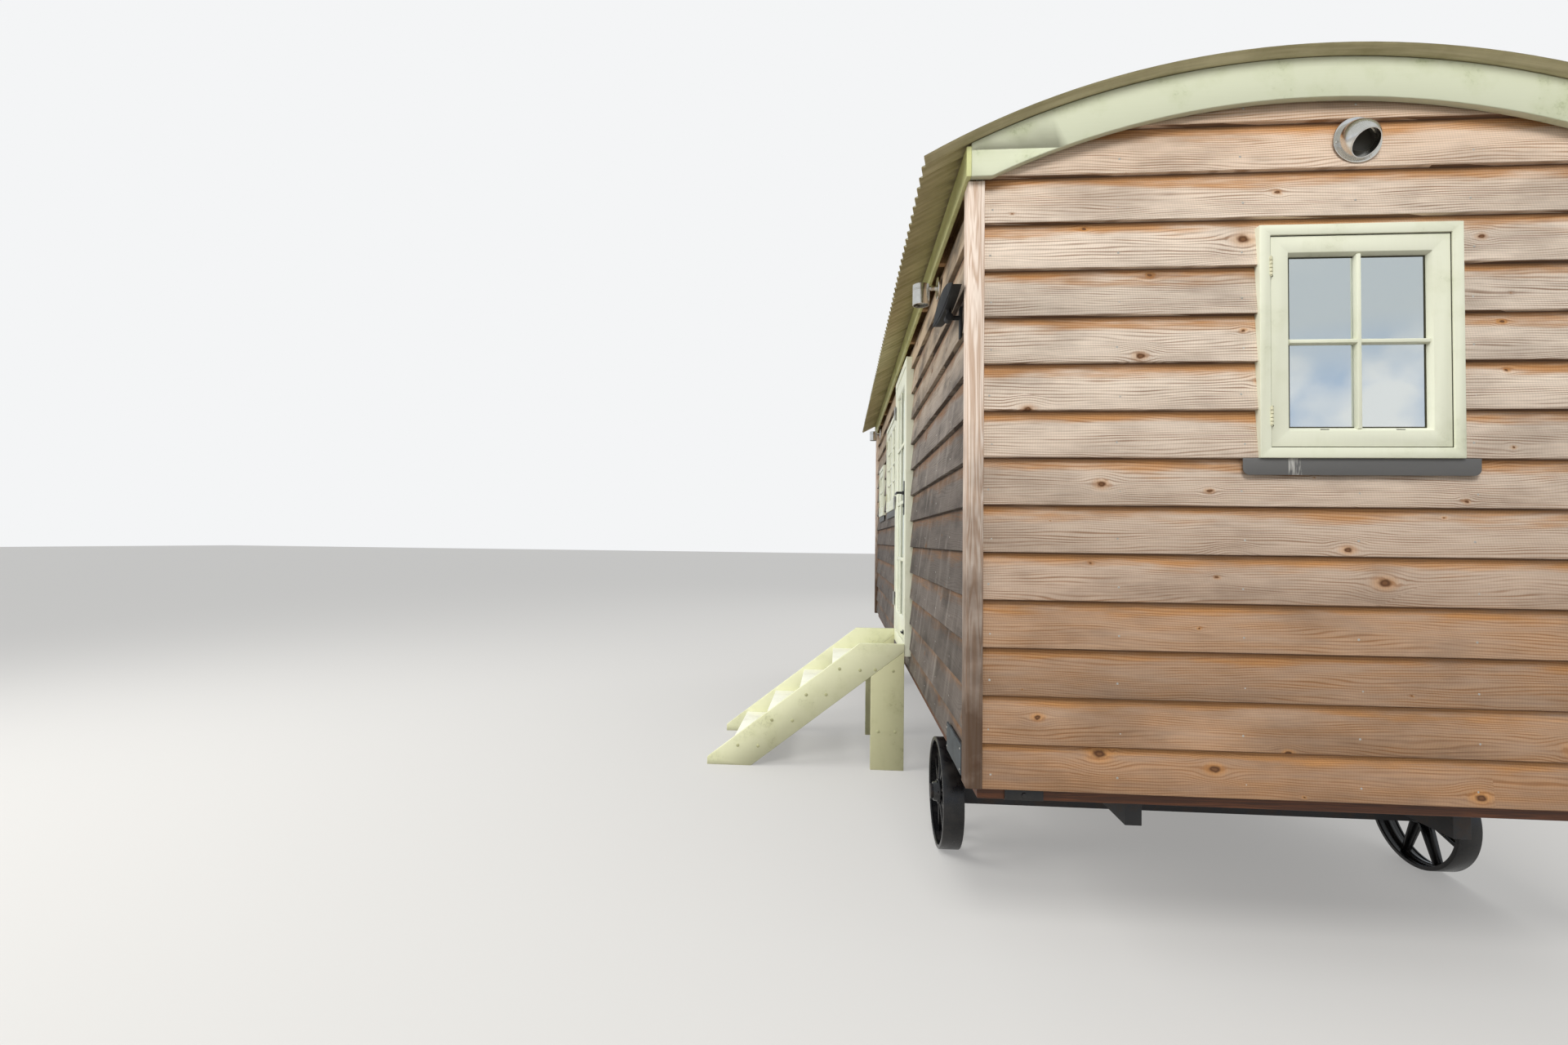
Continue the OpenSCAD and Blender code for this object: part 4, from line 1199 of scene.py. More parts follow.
def in_mm(*points: tuple[float, float]) -> Profile:
    """A profile whose radii and places are given in millimetres."""
    return [(radius * MM, place * MM) for radius, place in points]


def inwards(radius: float, end: float, *points: tuple[float, float]) -> Profile:
    """A profile given in millimetres from a corner: in towards the axis, and back along it."""
    return [(radius - down * MM, end - back * MM) for down, back in points]


def mirrored(half: Profile) -> Profile:
    """A closed profile from its one half, whose places lie on one side of zero."""
    return half + [(radius, -place) for radius, place in half[::-1]]


@dataclass(frozen=True)
class Edges:
    """A rectangle in a wall: its four edges, and the direction through the wall."""

    left: float
    right: float
    low: float
    high: float
    through: Axis = Axis.Y

    def inset(self, by: float) -> "Edges":
        """The rectangle, smaller by a distance on every side."""
        return Edges(self.left + by, self.right - by, self.low + by, self.high - by, self.through)

    def slab(self, name: str, front: float, back: float) -> Piece:
        """A block that fills the rectangle between two depths.

        Args:
            name: The name of the piece.
            front: Where it starts in the direction through the wall.
            back: Where it ends.

        Returns:
            The block.
        """
        if self.through is Axis.Y:
            return block(name, (self.left, front, self.low), (self.right, back, self.high))
        return block(name, (front, self.left, self.low), (back, self.right, self.high))

    def ring(self, name: str, wide: float, front: float, back: float) -> Piece:
        """A flat frame along the rectangle's edges.

        Args:
            name: The name of the piece.
            wide: How far it reaches inwards.
            front: Where it starts in the direction through the wall.
            back: Where it ends.

        Returns:
            The frame.
        """
        return cut(self.slab(name, front, back), self.inset(wide).slab("hole", front - 1, back + 1))


def around(x: float, z: float, half_w: float, half_h: float) -> Edges:
    """The rectangle round a point, from half its width and half its height."""
    return Edges(x - half_w, x + half_w, z - half_h, z + half_h)


@dataclass(frozen=True)
class Opening:
    """A window or door seen from outside: its middle along the wall, lower edge, width and height."""

    at: float
    low: float
    width: float
    height: float
    margin: float = 0.020

    def edges(self) -> Edges:
        """The opening's four edges."""
        return Edges(self.at - self.width / 2, self.at + self.width / 2, self.low, self.low + self.height)

    def holds(self, x: float, z: float) -> bool:
        """Whether a point of the wall lies in the opening or close to it."""
        near = self.edges().inset(-self.margin)
        return near.left < x < near.right and near.low < z < near.high


@dataclass
class Plan:
    """Where the openings are, and the rows of nails along the gables and the sides."""

    gable: Opening = Opening(0.128, 1.793, 0.660, 0.807)
    long_left: Opening = Opening(-0.620, 1.763, 1.200, 0.790)
    short_left: Opening = Opening(-2.050, 1.763, 0.700, 0.520)
    long_right: Opening = Opening(0.620, 1.763, 1.200, 0.790)
    door: Opening = Opening(0.501, 0.740, 0.850, 1.975)
    gable_nails: tuple[float, ...] = (-1.108, -0.667, -0.250, 0.128, 0.500, 0.880, 1.108)
    side_nails: tuple[float, ...] = tuple(-2.94 + 0.42 * i for i in range(15))


@dataclass
class Boarding:
    """One wall's lapped boards and their nails."""

    hut: Hut
    name: str
    wall: Matrix
    half: float
    low: float
    high: float
    openings: list[Opening]
    nails: tuple[float, ...]
    arched: bool = False
    nose: float = 3 * MM
    segment: float = 0.24
    straight_end: float = 0.010
    unevenness: float = 1.1 * MM
    cut_y: tuple[float, float] = (-0.2, 0.1)
    roof_gap: float = 0.006
    arch_below: float = 0.2
    arch_depth: float = 0.5
    arch_sides: int = 180
    nail_r: float = 4.2 * MM
    nail_up: float = 0.050
    nail_below: float = 0.020
    nail_in: float = 0.160
    nail_stray: tuple[float, float] = (0.006, 0.004)

    def board(self, low: float, high: float, seed: int) -> Piece:
        """One feather-edged board with a rounded lower edge that isn't quite straight.

        Args:
            low: The height of its lower edge.
            high: The height of its upper edge.
            seed: Chooses its unevenness.

        Returns:
            The board, in the wall's own directions.
        """
        thick, nose = self.hut.board_t, self.nose
        top = thick - self.hut.board_step * (high - low) / self.hut.exposure
        section = [(0.0, low), (-thick + nose, low)]
        section += [(-thick + nose - nose * math.sin(a), low + nose - nose * math.cos(a))
                    for a in (math.pi / 6, math.pi / 3, math.pi / 2)]
        section += [(-top, high), (0.0, high)]
        count = max(2, round(2 * self.half / self.segment))
        step = (2 * self.half / count, 0, 0)
        piece = prism(f"{self.name}_{seed}", [(-self.half, y, z) for y, z in section], [step] * count)
        choose(piece, lambda p: p.y < -thick + 2 * nose and abs(p.x) < self.half - self.straight_end)
        bpy.ops.transform.vertex_random(offset=self.unevenness, uniform=0.0, normal=0.0, seed=seed)
        deselect()
        return piece

    def build(self, finish: Finish, node: str) -> None:
        """All the boards of the wall, cut round its openings and under the roof.

        Args:
            finish: The boards' finish.
            node: The CAD node that they replace.
        """
        boards = []
        for i, (low, high) in enumerate(self.hut.rows(self.low, self.high)):
            piece = self.board(low, high, i + 1)
            for opening in self.openings:
                if opening.low < high and opening.low + opening.height > low:
                    cut(piece, opening.edges().slab("opening", *self.cut_y))
            if self.arched and high > self.hut.eaves_z - self.arch_below:
                arch = drum("arch", (0, 0, self.hut.arc_z), self.hut.roof_r - self.roof_gap,
                            self.arch_depth, Axis.Y, self.arch_sides)
                cut(piece, arch, "INTERSECT")
            boards.append(piece)
        whole = moved(joined(self.name, boards), self.wall)
        ready(smooth(whole, 50), finish, "root", "larch_boards", node)

    def nail_heads(self, finish: Finish) -> None:
        """A low domed nail head near each board's lower edge, wherever a stud lies behind.

        Args:
            finish: The nails' finish.
        """
        head = turned("nail", [(0.0, -1.3 * MM), (self.nail_r * 0.6, -1.0 * MM), (self.nail_r, 0.0)],
                      (0, 0, 0), Axis.Y, 10, closed=False)
        face = -self.hut.board_t + self.hut.board_step * self.nail_up / self.hut.exposure
        heads = []
        for low, high in self.hut.rows(self.low, self.high)[:None if self.arched else -1]:
            z = low + self.nail_up
            reach = self.half + self.nail_in
            if self.arched:
                reach = math.sqrt(max(0.0, self.hut.roof_r ** 2 - (z - self.hut.arc_z) ** 2))
            for x in self.nails:
                x += self.nail_stray[0] * math.sin(37 * x + 91 * z)
                if (abs(x) < reach - self.nail_in and z < high - self.nail_below
                        and not any(opening.holds(x, z) for opening in self.openings)):
                    stray = self.nail_stray[1] * math.sin(53 * x + 17 * z)
                    heads.append(copied(head, "nail", self.wall @ Matrix.Translation((x, face, z + stray))))
        remove(head)
        ready(smooth(joined(self.name + "_nails", heads), 60), finish, "root", "stainless")


@dataclass
class Roof:
    """The corrugated roof with its fixings, the bargeboards and the fascias."""

    hut: Hut
    sheets: int = 9
    waves: int = 10
    pitch: float = 0.07599
    wave_h: float = 0.018
    sheet_t: float = 1.2 * MM
    seat: float = 0.3 * MM
    lap: float = 1.5 * MM
    reach: float = 1.357
    wave_steps: int = 10
    arc_steps: int = 40
    battens: tuple[float, ...] = (-26, -19, -12, -5, 5, 12, 19, 26)
    screw_every: int = 3
    screw_up: float = 2 * MM
    joint_x: tuple[float, float] = (0.7, 1.3)
    joint_y: tuple[float, float] = (3.074, 3.145)
    joint_z: float = 2.884
    joint_h: float = 1.2 * MM

    def cover(self) -> float:
        """The length that one sheet adds, because one of its waves lies on the next sheet."""
        return (self.waves - 1) * self.pitch

    def length(self) -> float:
        """The length of the whole roof."""
        return self.sheets * self.cover() + self.pitch

    def skin(self, finish: Finish) -> None:
        """One curved sheet is spun from a wave and copied along the roof, every other one lapped over.

        Args:
            finish: The sheets' finish.
        """
        centre = (0, 0, self.hut.arc_z)
        crest = self.hut.roof_r + 2 * self.seat + 2 * self.sheet_t + self.wave_h
        half = math.asin(self.reach / crest)
        start = Vector((-math.sin(half), 0, math.cos(half)))
        made = []
        for lifted in (0, 1):
            base = self.hut.roof_r + self.seat + lifted * self.lap + self.sheet_t / 2
            points = []
            for i in range(self.waves * self.wave_steps + 1):
                radius = base + self.wave_h / 2 * (1 + math.cos(math.tau * i / self.wave_steps))
                along = i * self.pitch / self.wave_steps
                points.append(tuple(start * radius + Vector((0, along, self.hut.arc_z))))
            sheet = line("sheet", points)
            edit(sheet)
            bpy.ops.mesh.spin(steps=self.arc_steps, angle=-2 * half, center=centre, axis=(0, 1, 0))
            face_outwards()
            for i in range(lifted, self.sheets, 2):
                at = self.length() / 2 - i * self.cover() - self.waves * self.pitch
                made.append(copied(sheet, "sheet", self.hut.placed() @ Matrix.Translation((0, at, 0))))
            remove(sheet)
        whole = modified(joined("roof_skin", made), "SOLIDIFY", thickness=self.sheet_t, offset=0.0)
        ready(smooth(whole, 60), finish, "root", "roof_metal", "roof_sheets")

    def fixings(self, finish: Finish) -> None:
        """Domed screws on washers, on every third crest along the battens.

        Args:
            finish: The screws' finish.
        """
        screw = turned("screw", in_mm((0, 7), (3, 6.6), (5, 4), (5.5, 2), (9.5, 1.2), (9.5, 0)),
                       (0, 0, 0), Axis.Z, 10, closed=False)
        up = Matrix.Translation((0, 0, self.hut.roof_r + self.wave_h + self.screw_up))
        made = []
        for batten in self.battens:
            turn = Matrix.Rotation(math.radians(batten), 4, "Y")
            for i in range(1, int(self.length() / self.pitch), self.screw_every):
                at = Matrix.Translation((0, self.length() / 2 - i * self.pitch, self.hut.arc_z))
                made.append(copied(screw, "screw", self.hut.placed() @ at @ turn @ up))
        remove(screw)
        ready(smooth(joined("roof_screws", made), 50), finish, "root", "stainless")

    def trim(self, finishes: Finishes) -> None:
        """Bargeboards with the joint of their end blocks, and the fascias.

        Args:
            finishes: The hut's finishes.
        """
        barge = softened(from_frame("bargeboards", "barge_boards"), 3 * MM)
        for side in (-1, 1):
            left, right = sorted(side * x for x in self.joint_x)
            for end in (-1, 1):
                front, back = sorted(end * y for y in self.joint_y)
                joint = Edges(left, right, self.joint_z, self.joint_z + self.joint_h)
                cut(barge, moved(joint.slab("joint", front, back), self.hut.placed()))
        ready(smooth(barge), finishes.barge, "root", "sage_paint", "bargeboards")
        rounded("fascias", "eaves_boards", 2.5 * MM, finishes.fascia, "sage_paint")


@dataclass
class Window:
    """A casement window's bars, double glazing, butt hinges and drain slots, round its wall's own axes."""

    name: str
    opening: Opening
    lights: int = 1
    columns: int = 2
    rows: int = 2
    face: float = 0.036
    gap: float = 0.003
    sash_w: float = 0.057
    sash_y: float = -0.034
    glass_y: float = -0.014
    glass_t: float = 0.024
    pane_t: float = 4 * MM
    pane_gap: float = 0.6 * MM
    splay: float = 0.011
    groove: float = 0.008
    bar_w: float = 0.022
    bar_narrowing: float = 0.55
    bar_sunk: float = 3 * MM
    bar_apart: float = 0.4 * MM
    rear_bar_t: float = 12 * MM
    spacer_w: float = 13 * MM
    spacer_bar: tuple[float, float] = (7 * MM, 6 * MM)
    hinge_up: float = 0.105
    knuckle_r: float = 5.4 * MM
    knuckle_l: float = 11 * MM
    knuckle_pitch: float = 13 * MM
    knuckle_out: float = 5.5 * MM
    pin_r: float = 3 * MM
    pin_l: float = 4 * MM
    pin_up: float = 34 * MM
    # half the width and half the height, then where it starts and ends before or behind the sash's face
    leaf: tuple[float, float] = (6.5 * MM, 32 * MM)
    leaf_y: tuple[float, float] = (-3.4 * MM, -0.9 * MM)
    # a dark strip under each hinge, showing round its leaf: painted shadow
    gasket: tuple[float, float] = (9 * MM, 35 * MM)
    gasket_y: tuple[float, float] = (-0.9 * MM, 0.5 * MM)
    joint_y: tuple[float, float] = (0.2 * MM, 9 * MM)
    slot: tuple[float, float] = (14 * MM, 1.2 * MM)
    slot_y: tuple[float, float] = (0.5 * MM, 4 * MM)
    slot_up: float = 2.4 * MM
    slot_at: tuple[float, float] = (0.3, 0.72)
    bead_w: float = 3.4 * MM
    bead_t: float = 2.4 * MM
    bead_over: float = 0.2 * MM

    def sashes(self) -> Iterator[Edges]:
        """Goes through the lights from left to right.

        Returns:
            The outer edges of each light's sash.
        """
        inside = self.opening.edges().inset(self.face + self.gap)
        width = (inside.right - inside.left - (self.lights - 1) * self.gap) / self.lights
        for index in range(self.lights):
            left = inside.left + index * (width + self.gap)
            yield Edges(left, left + width, inside.low, inside.high)

    def hinge_spots(self) -> Iterator[tuple[float, float]]:
        """Finds the joint at each light's outer edge, near its foot and its head.

        Returns:
            Where each hinge is.
        """
        for index, sash in enumerate(self.sashes()):
            x = sash.left - self.gap / 2 if index == 0 else sash.right + self.gap / 2
            for z in (sash.low + self.hinge_up, sash.high - self.hinge_up):
                yield x, z

    def bar(self, edges: Edges, front: float, back: float, upright: bool) -> Piece:
        """A glazing bar that narrows to its face.

        Args:
            edges: Its outline.
            front: How far back its face lies.
            back: How far back its rear lies.
            upright: Whether it stands.

        Returns:
            The bar.
        """
        piece = edges.slab("bar", front, back)
        choose(piece, lambda p: p.y < (front + back) / 2)
        squeeze = (self.bar_narrowing, 1, 1) if upright else (1, 1, self.bar_narrowing)
        middle = ((edges.left + edges.right) / 2, 0, (edges.low + edges.high) / 2)
        bpy.ops.transform.resize(value=squeeze, center_override=middle)
        deselect()
        return softened(piece, 1.5 * MM)

    def bars(self) -> Piece:
        """The bars in front of the glass and behind it.

        Returns:
            The bars of all lights.
        """
        made = []
        half, back_y = self.bar_w / 2, self.glass_y + self.glass_t
        for sash in self.sashes():
            clear = sash.inset(self.sash_w + self.splay / 2)
            for front, back in ((self.sash_y + self.bar_sunk, self.glass_y),
                                (back_y, back_y + self.rear_bar_t)):
                for i in range(1, self.columns):
                    x = clear.left + i * (clear.right - clear.left) / self.columns
                    made.append(self.bar(Edges(x - half, x + half, clear.low, clear.high), front, back, True))
                for i in range(1, self.rows):
                    z = clear.low + i * (clear.high - clear.low) / self.rows
                    level = Edges(clear.left, clear.right, z - half, z + half)
                    made.append(self.bar(level, front + self.bar_apart, back, False))
        return joined(self.name + "_bars", made)

    def panes(self) -> tuple[Piece, Piece]:
        """The two panes of each light, and the spacer that holds them apart.

        Returns:
            The panes and the spacers.
        """
        glass, spacer = [], []
        front, back = self.glass_y, self.glass_y + self.glass_t
        for sash in self.sashes():
            pane = sash.inset(self.sash_w + self.splay - self.groove + self.pane_gap)
            for face in (front, back - self.pane_t):
                glass.append(softened(pane.slab("pane", face, face + self.pane_t), 0.6 * MM, 1))
            ring = pane.ring("spacer", self.spacer_w, front + self.pane_t, back - self.pane_t)
            spacer.append(softened(ring, 0.8 * MM, 1))
            half, gap = self.spacer_bar
            for i in range(1, self.columns):
                x = pane.left + i * (pane.right - pane.left) / self.columns
                between = Edges(x - half, x + half, pane.low + self.spacer_w, pane.high - self.spacer_w)
                spacer.append(between.slab("spacer", front + gap, back - gap))
        return joined(self.name + "_panes", glass), joined(self.name + "_spacers", spacer)

    def hinges(self) -> Piece:
        """Butt hinges: five knuckles, a leaf behind them and the two ends of the pin.

        Returns:
            The hinges of all lights.
        """
        made = []
        y = self.sash_y - self.knuckle_out
        for x, z in self.hinge_spots():
            for k in range(-2, 3):
                knuckle = drum("knuckle", (x, y, z + k * self.knuckle_pitch), self.knuckle_r,
                               self.knuckle_l, Axis.Z, 16)
                made.append(softened(knuckle, 0.8 * MM, 1))
            leaf = around(x, z, *self.leaf).slab("leaf", *[self.sash_y + y for y in self.leaf_y])
            made.append(softened(leaf, 0.5 * MM, 1))
            for end in (-self.pin_up, self.pin_up):
                pin = drum("pin", (x, y, z + end), self.pin_r, self.pin_l, Axis.Z, 12)
                made.append(softened(pin, 0.8 * MM, 1))
        return joined(self.name + "_hinges", made)

    def seals(self) -> Piece:
        """Dark strips under the hinges, showing round them, which are painted shadow, and rubber seals in the
        joint round each light and against the glass, which are partly painted shade.

        Returns:
            The seals of all lights.
        """
        made = []
        for x, z in self.hinge_spots():
            # the dark strip under each hinge is painted shadow
            gasket = around(x, z, *self.gasket).slab("gasket", *[self.sash_y + y for y in self.gasket_y])
            made.append(softened(gasket, 0.3 * MM, 1))
        for sash in self.sashes():
            front, back = [self.sash_y + y for y in self.joint_y]
            # a dark weather seal filling the joint round each light: rubber, and partly painted shade in the
            # joint
            made.append(sash.inset(-self.gap).ring("seal", self.gap, front, back))
            # a dark gasket against the glass: rubber, and partly the painted shadow of the bead
            bead = sash.inset(self.sash_w + self.splay - self.bead_over)
            made.append(bead.ring("seal", self.bead_w, self.glass_y - self.bead_t, self.glass_y))
        return joined(self.name + "_seals", made)

    def slots(self) -> Piece:
        """Drain slots in the bottom bead, each a dark block: painted shade for the slot's hollow.

        Returns:
            The slots of all lights.
        """
        made = []
        for sash in self.sashes():
            z = sash.low + self.sash_w + self.slot_up
            for share in self.slot_at:
                x = sash.left + share * (sash.right - sash.left)
                slot = around(x, z, *self.slot).slab("slot", *[self.sash_y + y for y in self.slot_y])
                made.append(softened(slot, 0.6 * MM, 1))
        return joined(self.name + "_slots", made)


@dataclass
class Glazing:
    """All the windows: their frames and sashes from the frame, and the rest built once and copied."""

    hut: Hut
    plan: Plan

    def build(self, finishes: Finishes) -> None:
        """Rounds the joinery and the lead, and puts in bars, panes, spacers, hinges, seals and slots; the
        dark strips under the hinges and the dark slots are painted shade, the seals partly.

        Args:
            finishes: The hut's finishes.
        """
        for place in ("gable", "side"):
            for part, name, width in (("frames", "window", 2 * MM), ("sashes", "sash", 1.6 * MM)):
                rounded(f"{place}_window_{part}", f"{place}_{name}_joinery", width, finishes.sage,
                        "sage_paint")
        front, rear = ("front", self.hut.front()), ("rear", self.hut.rear())
        left, right = ("left", self.hut.left()), ("right", self.hut.right())
        kinds = [(Window("gable", self.plan.gable), [front, rear]),
                 (Window("long", self.plan.long_left, lights=2, rows=4), [left]),
                 (Window("short", self.plan.short_left), [left]),
                 (Window("long_far", self.plan.long_right, lights=2, rows=4), [right])]
        panes: dict[str, list[Piece]] = {"gable_window_glass": [], "side_window_glass": []}
        for window, places in kinds:
            glass, spacers = window.panes()
            parts = [(window.bars(), finishes.sage, "sage_paint"),
                     (spacers, finishes.spacer, "stainless"),
                     (window.hinges(), finishes.casement_hinge, "hinge_steel"),
                     (window.seals(), finishes.seal, "black_plastic"),
                     (window.slots(), finishes.rubber, "black_plastic")]
            node = "gable_window_glass" if window.name == "gable" else "side_window_glass"
            for place, move in places:
                for part, finish, slot in parts:
                    ready(smooth(copied(part, f"{part.name}_{place}", move)), finish, "root", slot)
                panes[node].append(copied(glass, f"{glass.name}_{place}", move))
            remove(glass, *[part for part, _, _ in parts])
        for node, made in panes.items():
            ready(joined(node.replace("glass", "panes"), made), finishes.glass, "root", "glass", node)
        rounded("window_flashings", "lead_flashings", 1.2 * MM, finishes.lead, "lead")


@dataclass
class Door:
    """The glazed door in its frame, in the hut's own directions."""

    hut: Hut
    leaf_x: float = -1.202
    leaf_y: float = -0.869
    leaf_w: float = 0.736
    leaf_low: float = 0.828
    leaf_top: float = 2.658
    stile: float = 0.092
    bottom_rail: float = 0.140
    top_rail: float = 0.092
    leaf_t: float = 0.050
    glass_t: float = 0.024
    pane_t: float = 4 * MM
    pane_gap: float = 0.6 * MM
    splay: float = 0.011
    groove: float = 0.008
    bar_w: float = 0.024
    bar_sunk: float = 3 * MM
    bar_apart: float = 0.3 * MM
    spacer_w: float = 0.013
    rows: int = 4

    def bars(self, clear: Edges, front: float, back: float) -> Piece:
        """The bars in front of the glass and behind it.

        Args:
            clear: The edges of the opening in the leaf.
            front: Where the glass starts.
            back: Where it ends.

        Returns:
            The bars.
        """
        made = []
        half, middle = self.bar_w / 2, (clear.left + clear.right) / 2
        between = clear.inset(self.splay / 2)
        rear = self.leaf_x + self.leaf_t
        for near, far in ((self.leaf_x + self.bar_sunk, front), (back, rear - self.bar_sunk)):
            upright = Edges(middle - half, middle + half, between.low, between.high, Axis.X)
            made.append(softened(upright.slab("bar", near, far), 3 * MM))
            for i in range(1, self.rows):
                z = clear.low + i * (clear.high - clear.low) / self.rows
                level = Edges(between.left, between.right, z - half, z + half, Axis.X)
                made.append(softened(level.slab("bar", near + self.bar_apart, far), 3 * MM))
        return joined("door_bars", made)

    def build(self, finishes: Finishes) -> None:
        """Rounds the joinery, puts in the glass, its bars and spacer, and dresses the ironwork.

        Args:
            finishes: The hut's finishes.
        """
        rounded("door_frame", "door_joinery", 2 * MM, finishes.sage, "sage_paint")
        rounded("door_leaf", "door_leaf_joinery", 1.6 * MM, finishes.sage, "sage_paint", "door")
        clear = Edges(self.leaf_y + self.stile, self.leaf_y + self.leaf_w - self.stile,
                      self.leaf_low + self.bottom_rail, self.leaf_top - self.top_rail, Axis.X)
        front = self.leaf_x + (self.leaf_t - self.glass_t) / 2
        back = front + self.glass_t
        placed = self.hut.placed()
        ready(smooth(moved(self.bars(clear, front, back), placed)), finishes.sage, "door", "sage_paint")
        pane = clear.inset(self.splay - self.groove + self.pane_gap)
        glass = joined("door_panes", [softened(pane.slab("pane", x, x + self.pane_t), 0.6 * MM, 1)
                                      for x in (front, back - self.pane_t)])
        ready(moved(glass, placed), finishes.glass, "door", "glass", "door_glass")
        spacer = pane.ring("door_spacer", self.spacer_w, front + self.pane_t, back - self.pane_t)
        ready(softened(moved(spacer, placed), 0.8 * MM, 1), finishes.spacer, "door", "stainless")
        rounded("door_furniture", "door_ironwork", 1.2 * MM, finishes.black_iron, "black_iron", "door")
        finishes.hinge.on_node("frame_hinges", "leaf_hinges")


@dataclass
class Wheel:
    """A cast-iron wheel: a broad tread with lips, crossed spokes that taper, and a stepped hub."""

    hut: Hut
    radius: float = 0.260
    width: float = 0.096
    rim_t: float = 0.014
    mid_x: float = 1.102
    axle_y: float = 2.026
    hub_r: float = 0.058
    hub_l: float = 0.126
    bore_r: float = 0.0252
    spokes: int = 8
    bolts: int = 6
    bolt_r: float = 5 * MM
    bolt_in: float = 21 * MM

    def rim(self) -> Piece:
        """The tread with rounded edges, a lip inside each and a rib round the middle.

        Returns:
            The rim.
        """
        half, inner = self.width / 2, self.radius - self.rim_t
        edge = inwards(self.radius, half, (0, 4), (1.2, 1.2), (4, 0))
        lip = inwards(inner, half, (3.5, 0), (5, 1.5), (5, 8), (0, 11))
        rib = inwards(inner, 0.0, (0, -13), (5, -9.5), (14, -8.5), (16, -6))
        return turned("rim", mirrored(edge + lip + rib), (0, 0, 0), Axis.X, 96)

    def hub(self) -> Piece:
        """The hub, bored for the axle, with a collar and a nose at each end.

        Returns:
            The hub.
        """
        end = self.hub_l / 2
        bore = inwards(self.bore_r, end, (0, 3), (-3, 0))
        outside = inwards(self.hub_r, end, (17, 0), (14, 3), (11, 20), (8, 23), (2, 23), (0, 26), (0, 36),
                          (3, 40))
        return turned("hub", mirrored(bore + outside), (0, 0, 0), Axis.X, 64)

    def spoke(self) -> Piece:
        """One spoke up from the hub: a web in the wheel's plane, crossed by a rib, both tapered.

        Returns:
            The spoke.
        """
        low, high = self.hub_r - 14 * MM, self.radius - self.rim_t + 2 * MM
        thick, wide, narrow = 7 * MM, 28 * MM, 17 * MM
        web = prism("web", [(-thick, -wide, low), (-thick, wide, low), (-thick, narrow, high),
                            (-thick, -narrow, high)], [(2 * thick, 0, 0)])
        thick, wide, narrow = 6 * MM, 32 * MM, 20 * MM
        rib = prism("rib", [(-wide, -thick, low), (wide, -thick, low), (narrow, -thick, high),
                            (-narrow, -thick, high)], [(0, 2 * thick, 0)])
        return joined("spoke", [softened(web, 2.5 * MM), softened(rib, 2.5 * MM)])

    def build(self, finishes: Finishes) -> None:
        """Models one wheel and copies it to the four axle ends.

        Args:
            finishes: The hut's finishes.
        """
        parts = [self.rim(), self.hub()]
        spoke = self.spoke()
        bolt = drum("bolt", (0, 0, 0), self.bolt_r, self.bolt_r, Axis.X, 6)
        for i in range(self.spokes):
            turn = Matrix.Rotation(math.tau * (i + 0.5) / self.spokes, 4, "X")
            parts.append(copied(spoke, "spoke", turn))
        for i in range(self.bolts):
            turn = Matrix.Rotation(math.tau * (i + 0.25) / self.bolts, 4, "X")
            for end in (-1, 1):
                at = (end * (self.hub_l / 2 - self.bolt_in), 0, self.hub_r - self.bolt_r)
                parts.append(copied(bolt, "bolt", turn @ Matrix.Translation(at)))
        remove(spoke, bolt)
        wheel = smooth(joined("wheel", parts), 45)
        for side, side_name in ((-1, "left"), (1, "right")):
            for end, end_name in ((-1, "front"), (1, "rear")):
                node = f"wheel_{end_name}_{side_name}"
                at = Matrix.Translation((self.hut.shift + side * self.mid_x, end * self.axle_y, self.radius))
                ready(copied(wheel, f"cast_{node}", at), finishes.cast_iron, node, "cast_iron", node)
        remove(wheel)


